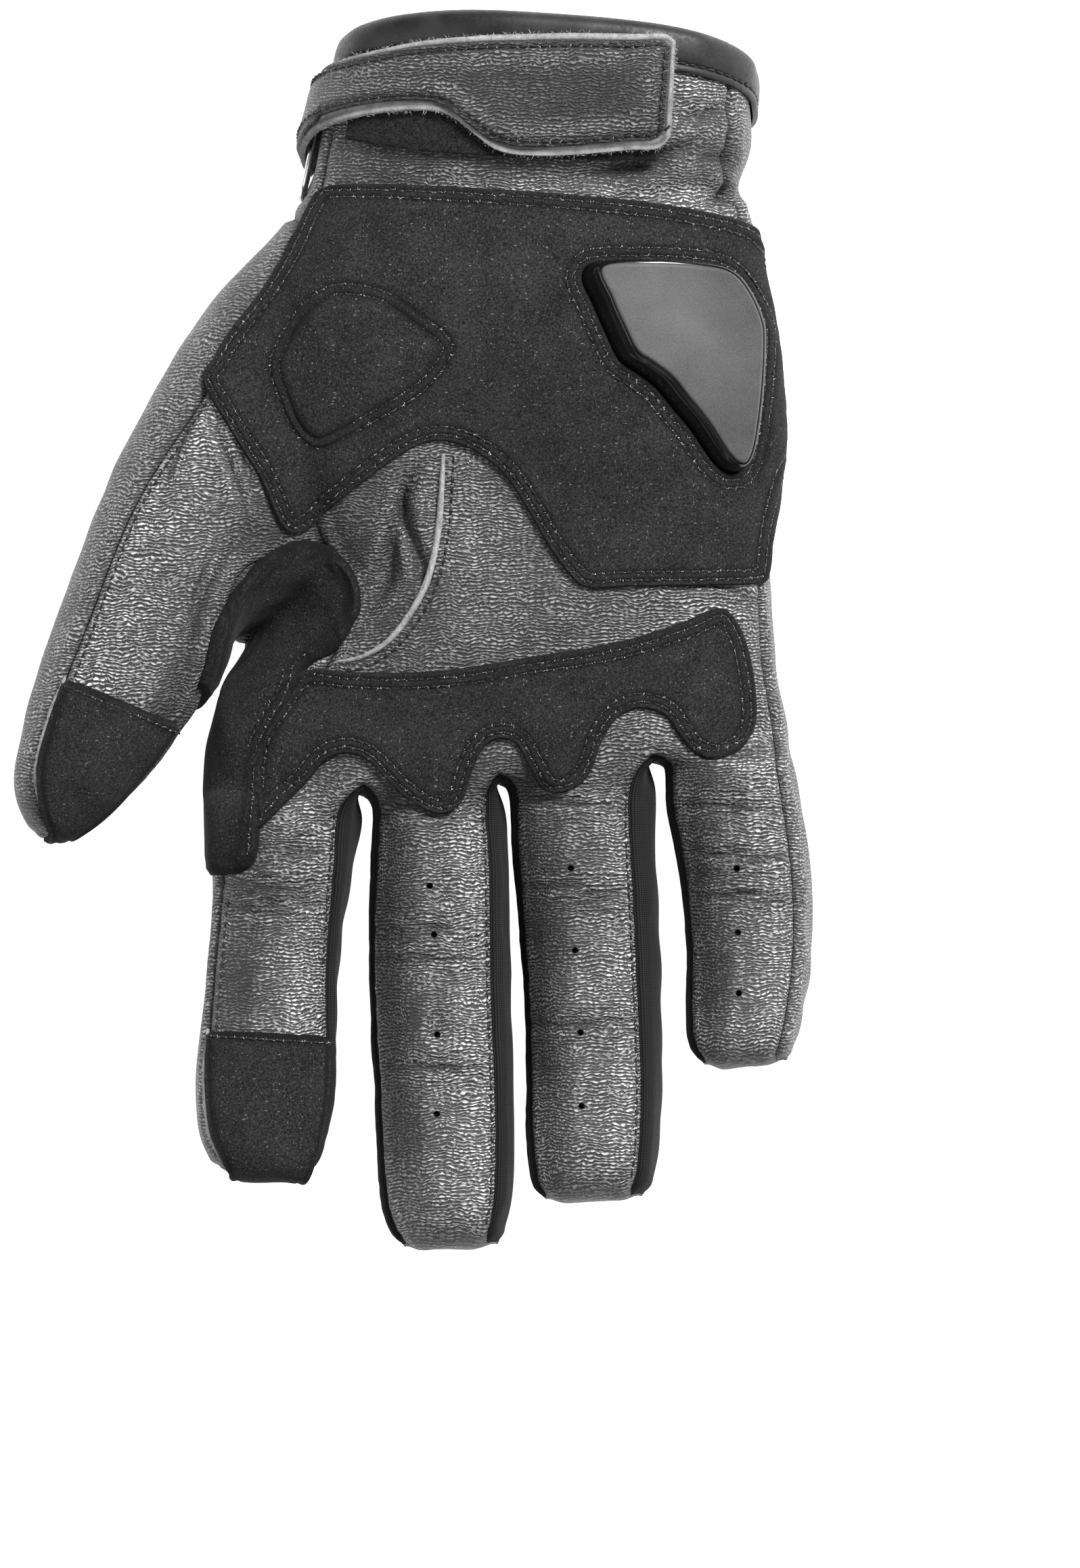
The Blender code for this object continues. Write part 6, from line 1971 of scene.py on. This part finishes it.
def makeWelt():
    look = weltLook
    path = openLine(inPlan(weltPath))
    rings, row, crest = [], [], []
    for k, spot in enumerate(path):
        way = wayAt(path, k)
        side = Vector((-way.y, way.x))
        share = max(0.04, k / (len(path) - 1))
        size = 0.25 + 0.75 * math.sin(math.pi * share ** 0.8) ** 0.5
        wobble = draw.uniform(-look["wobble"], look["wobble"])
        ring = []
        for turn in range(9):
            angle = math.pi * turn / 8
            across = math.cos(angle) * (look["half"] * size + wobble * 0.5)
            up = math.sin(angle) ** 0.7 * look["high"] * size
            ground, normal = onSkin(spot.x + side.x * across * mm, spot.y + side.y * across * mm)
            ring.append(ground + normal * (up + 0.1) * mm)
        ground, normal = onSkin(spot.x, spot.y)
        rings.append(ring + [ground - normal * look["seat"]])
        crest.append((ground + normal * look["high"] * size * mm, normal))
        right = side if side.x > 0 else -side
        foot, normal = onSculpt(spot.x + right.x * look["rowAt"], spot.y + right.y * look["rowAt"])
        row.append((foot + normal * 0.08 * mm, normal))
    finishPiece(sweep("seamWelt", rings, closed=False), "raw", "seam_welt", 60)
    stitchPaths.append(("palmPanel", row, "leather"))
    rimPaths.append(("seamWelt", crest, "raw"))


makeStrap()
makeLoop()
makeBinding()
makeRing()
makeWelt()
print("strap, loop patch, binding, ring and welt")


# Seams: topstitching beside them and the light cut edges that stand out of two of them
def seamLine(zone, column, first, last):
    return openLine([ring[column] for ring in ringSpots[zone][first:last]], 0.4 * mm)


def besideSeam(piece, zone, column, toward, first, last, away):
    # a row of stitches a distance from a seam, on the side of another column
    line = seamLine(zone, column, first, last)
    other = seamLine(zone, toward, first, last)
    row = []
    for k, spot in enumerate(line):
        mate = other[min(len(other) - 1, round(k * len(other) / len(line)))]
        side = Vector((mate.x - spot.x, mate.y - spot.y)).normalized()
        ground, normal = onSculpt(spot.x + side.x * away, spot.y + side.y * away)
        if ground and normal.z > 0.25:
            row.append((ground + normal * 0.06 * mm, normal))
    stitchPaths.append((piece, row, "leather"))


besideSeam("palmPanel", "index", 0, 1, 3, 9, 1.7 * mm)
besideSeam("thumbFront", "thumb", 0, 1, 1, 8, 1.8 * mm)
besideSeam("palmPanel", "middle", fingerColumns, fingerColumns - 1, 1, 9, 1.3 * mm)
besideSeam("palmPanel", "ring", fingerColumns, fingerColumns - 1, 1, 9, 1.3 * mm)
besideSeam("palmPanel", "index", fingerColumns, fingerColumns - 1, 1, 5, 1.3 * mm)


rimLook = {"half": 0.38 * mm, "high": 0.75 * mm, "crown": 0.1 * mm, "root": 0.5 * mm, "slant": 0.2}


def makeRim(name, zone, first, last):
    # a thin cut edge along a digit's outer seam
    look = rimLook
    line = seamLine(zone, 0, first, last)
    rings, crest = [], []
    for k, spot in enumerate(line):
        near, _, index, _ = skinTree.find_nearest(spot)
        normal = skinAt(index, near)
        side = wayAt(line, k).cross(normal).normalized()
        share = k / (len(line) - 1)
        size = min(1.0, 4 * share, 4 * (1 - share)) ** 0.6 * draw.uniform(0.85, 1.1) + 0.08
        lean = (normal + side * look["slant"]).normalized()
        half = look["half"] * size
        root = near - normal * look["root"]
        tip = near + lean * look["high"] * size
        rings.append([root - side * half, tip - side * half * 0.8, tip + lean * look["crown"],
                      tip + side * half * 0.8, root + side * half])
        crest.append((tip, lean))
    finishPiece(sweep(name, rings, closed=False), "raw", None, 60)
    rimPaths.append((name, crest, "raw"))


makeRim("indexRim", "index", 5, 10)
makeRim("thumbRim", "thumb", 7, 11)


threadLook = {
    # length and pitch of a stitch, half its thickness, how far its ends dive
    "suede": {"long": 1.45 * mm, "pitch": 1.95 * mm, "half": 0.25 * mm, "dive": 0.30 * mm, "lint": 3},
    "leather": {"long": 1.65 * mm, "pitch": 2.05 * mm, "half": 0.26 * mm, "dive": 0.28 * mm, "lint": 1},
    "binding": {"long": 1.70 * mm, "pitch": 2.20 * mm, "half": 0.26 * mm, "dive": 0.28 * mm, "lint": 0},
}


def capsule():
    # one stitch of length 2 along x, its ends pointed; z is its dive
    points, faces = [(-1.0, 0.0, 0.0, 1.0)], []
    stops = ((-0.88, 0.62), (-0.5, 0.95), (0.0, 1.0), (0.5, 0.95), (0.88, 0.62))
    for x, size in stops:
        for k in range(6):
            turn = math.pi * k / 3
            points.append((x, math.cos(turn) * size, math.sin(turn) * size, x**4))
    points.append((1.0, 0.0, 0.0, 1.0))
    for k in range(6):
        after = (k + 1) % 6
        faces.append((0, 1 + after, 1 + k))
        for ring in range(len(stops) - 1):
            a = 1 + ring * 6
            faces.append((a + k, a + after, a + 6 + after, a + 6 + k))
        faces.append((25 + k, 25 + after, len(points) - 1))
    return np.array(points), faces


def joinCopies(name, base, faces, places, look):
    # one mesh of many copies; a place has a column for each of the base's numbers and its origin
    if not places:
        return
    base = np.column_stack([base, np.ones(len(base))])
    co = np.einsum("nij,pj->npi", np.array(places), base).reshape(-1, 3)
    lengths = np.array([len(face) for face in faces])
    flat = np.array([corner for face in faces for corner in face])
    corners = (flat[None, :] + (np.arange(len(places)) * len(base))[:, None]).ravel()
    mesh = bpy.data.meshes.new(name)
    mesh.vertices.add(len(co))
    mesh.vertices.foreach_set("co", co.astype(np.float32).ravel())
    mesh.loops.add(len(corners))
    mesh.loops.foreach_set("vertex_index", corners.astype(np.int32))
    totals = np.tile(lengths, len(places))
    starts = np.concatenate([[0], np.cumsum(totals)[:-1]])
    mesh.polygons.add(len(totals))
    mesh.polygons.foreach_set("loop_start", starts.astype(np.int32))
    mesh.update(calc_edges=True)
    mesh.validate()
    finishPiece(linkObject(name, mesh), look, smooth=180)


def placed(*columns):
    return [[column[axis] for column in columns] for axis in range(3)]


stitchBase, stitchFaces = capsule()
# a fibre: a bent, thin three-sided spike of length 1 along z
third = [(math.cos(2 * math.pi * k / 3), math.sin(2 * math.pi * k / 3)) for k in range(3)]
fibreBase = np.array([(x, y, 0.0, 0.0) for x, y in third] + [(0.8 * x, 0.8 * y, 0.55, 0.35) for x, y in third]
                     + [(0.0, 0.0, 1.0, 1.0)])
fibreFaces = [(k, (k + 1) % 3, 3 + (k + 1) % 3, 3 + k) for k in range(3)]
fibreFaces += [(3 + k, 3 + (k + 1) % 3, 6) for k in range(3)]


def stitchPlaces(row, look):
    # places for the stitches of one row, and where its needle holes are
    spots, normals = zip(*row)
    places, holes = [], []
    travelled, k = 0.0, 0
    want = look["pitch"] / 2
    while k < len(spots) - 1:
        step = (spots[k + 1] - spots[k]).length
        if step > 4 * mm:
            k += 1
            travelled, want = 0.0, look["pitch"] / 2
            continue
        if travelled + step < want:
            travelled += step
            k += 1
            continue
        middle = spots[k].lerp(spots[k + 1], (want - travelled) / max(step, 1e-9))
        normal = normals[k]
        back, ahead = max(0, k - 1), min(len(spots) - 1, k + 2)
        way = (spots[ahead] - spots[back]).normalized()
        way = (way - normal * way.dot(normal)).normalized()
        side = normal.cross(way)
        skew = draw.uniform(-0.10, 0.10)
        way, side = (way + side * skew).normalized(), (side - way * skew).normalized()
        half = look["long"] / 2 * draw.uniform(0.92, 1.08)
        thick = look["half"] * draw.uniform(0.9, 1.1)
        places.append(placed(way * half, side * thick, normal * thick, -normal * look["dive"], middle))
        holes.append((middle - way * half * 0.95 - normal * 0.05 * mm, way, normal))
        holes.append((middle + way * half * 0.95 - normal * 0.05 * mm, -way, normal))
        want += look["pitch"]
    return places, holes


def fibrePlace(root, way, long, thin):
    side = way.orthogonal().normalized()
    other = way.cross(side)
    turn = draw.uniform(0, 2 * math.pi)
    a = side * math.cos(turn) + other * math.sin(turn)
    b = way.cross(a)
    bend = a * long * draw.uniform(-0.5, 0.5)
    return placed(a * thin, b * thin, way * long, bend, root)


threads, lint = {}, []
for piece, row, kind in stitchPaths:
    if len(row) < 4:
        continue
    places, holes = stitchPlaces(row, threadLook[kind])
    threads.setdefault(piece, []).extend(places)
    for spot, way, normal in holes:
        for _ in range(threadLook[kind]["lint"]):
            if draw.random() < 0.45:
                lean = (normal * draw.uniform(0.1, 0.5) + way * draw.uniform(-0.6, 1.0)
                        + normal.cross(way) * draw.uniform(-1, 1)).normalized()
                start = spot + way * draw.uniform(-0.25, 0.05) * mm + normal * 0.12 * mm
                long, thin = draw.uniform(0.20, 0.55) * mm, draw.uniform(0.03, 0.065) * mm
                lint.append(fibrePlace(start, lean, long, thin))
for piece, places in threads.items():
    joinCopies(piece + "Thread", stitchBase, stitchFaces, places, "thread")
joinCopies("stitchLint", fibreBase, fibreFaces, lint, "lint")
print("stitches:", sum(len(places) for places in threads.values()), "lint:", len(lint))

fuzzLook = {
    "raw": {"each": 2.6, "long": (0.35, 1.1), "thin": (0.03, 0.06), "finish": "rawFibre"},
    "pile": {"each": 1.0, "long": (0.5, 1.3), "thin": (0.04, 0.08), "finish": "pileFibre"},
    "nap": {"each": 1.2, "long": (0.20, 0.55), "thin": (0.03, 0.05), "finish": "napFibre"},
}
fuzz = {}
for piece, row, kind in rimPaths:
    look = fuzzLook[kind]
    for root, normal in row:
        if normal.z < -0.2:
            continue
        for _ in range(int(look["each"] + draw.random())):
            lean = normal * draw.uniform(0.2, 1.0) + Vector([draw.uniform(-1, 1) for _ in range(3)])
            lean.normalize()
            start = root + Vector([draw.uniform(-0.35, 0.35) * mm for _ in range(3)])
            long, thin = draw.uniform(*look["long"]) * mm, draw.uniform(*look["thin"]) * mm
            fuzz.setdefault(look["finish"], []).append(fibrePlace(start, lean, long, thin))
for name, places in fuzz.items():
    joinCopies(name + "Fuzz", fibreBase, fibreFaces, places, name)
print("fibres:", {name: len(places) for name, places in fuzz.items()})


# Floor, light and camera
def makeFloor():
    bm = bmesh.new()
    bmesh.ops.create_grid(bm, x_segments=1, y_segments=1, size=2.5)
    floor = meshObject("floor", bm)
    floor.location.z = -0.4 * mm
    made, _, _ = newMaterial("paleFloor", 0.9, Specular_IOR_Level=0.1, Base_Color=(0.9, 0.9, 0.9, 1.0),
                             Emission_Color=(1.0, 1.0, 1.0, 1.0), Emission_Strength=1.0)
    floor.data.materials.append(made)
    floor.visible_diffuse = False


lamps = {
    # position in metres, size, power; each looks at the glove
    "key": ((0.70, 0.80, 1.15), 0.45, 41.0),
    "fill": ((-1.00, -0.20, 0.95), 0.9, 6.5),
    "front": ((0.20, -1.00, 0.90), 0.8, 2.2),
}
lookSpot = Vector((0.0248, -0.0302, 0.02))
for name, (place, size, power) in lamps.items():
    data = bpy.data.lights.new(name, "AREA")
    data.shape = "SQUARE"
    data.size = size
    data.energy = power
    lamp = linkObject(name, data)
    lamp.location = place
    lamp.rotation_euler = (lookSpot - Vector(place)).to_track_quat("-Z", "Y").to_euler()

world = bpy.data.worlds.new("paleRoom")
world.use_nodes = True
world.node_tree.nodes["Background"].inputs["Color"].default_value = (1.0, 1.0, 1.0, 1.0)
world.node_tree.nodes["Background"].inputs["Strength"].default_value = 0.12
bpy.context.scene.world = world
makeFloor()

lens = bpy.data.cameras.new("camera")
lens.lens, lens.sensor_width = 347.0, 36.0
lens.clip_start, lens.clip_end = 0.1, 20.0
camera = linkObject("camera", lens)
camera.location = (0.0248, -0.0302, 3.02)
bpy.context.scene.camera = camera
bpy.context.scene.view_settings.view_transform = "Standard"
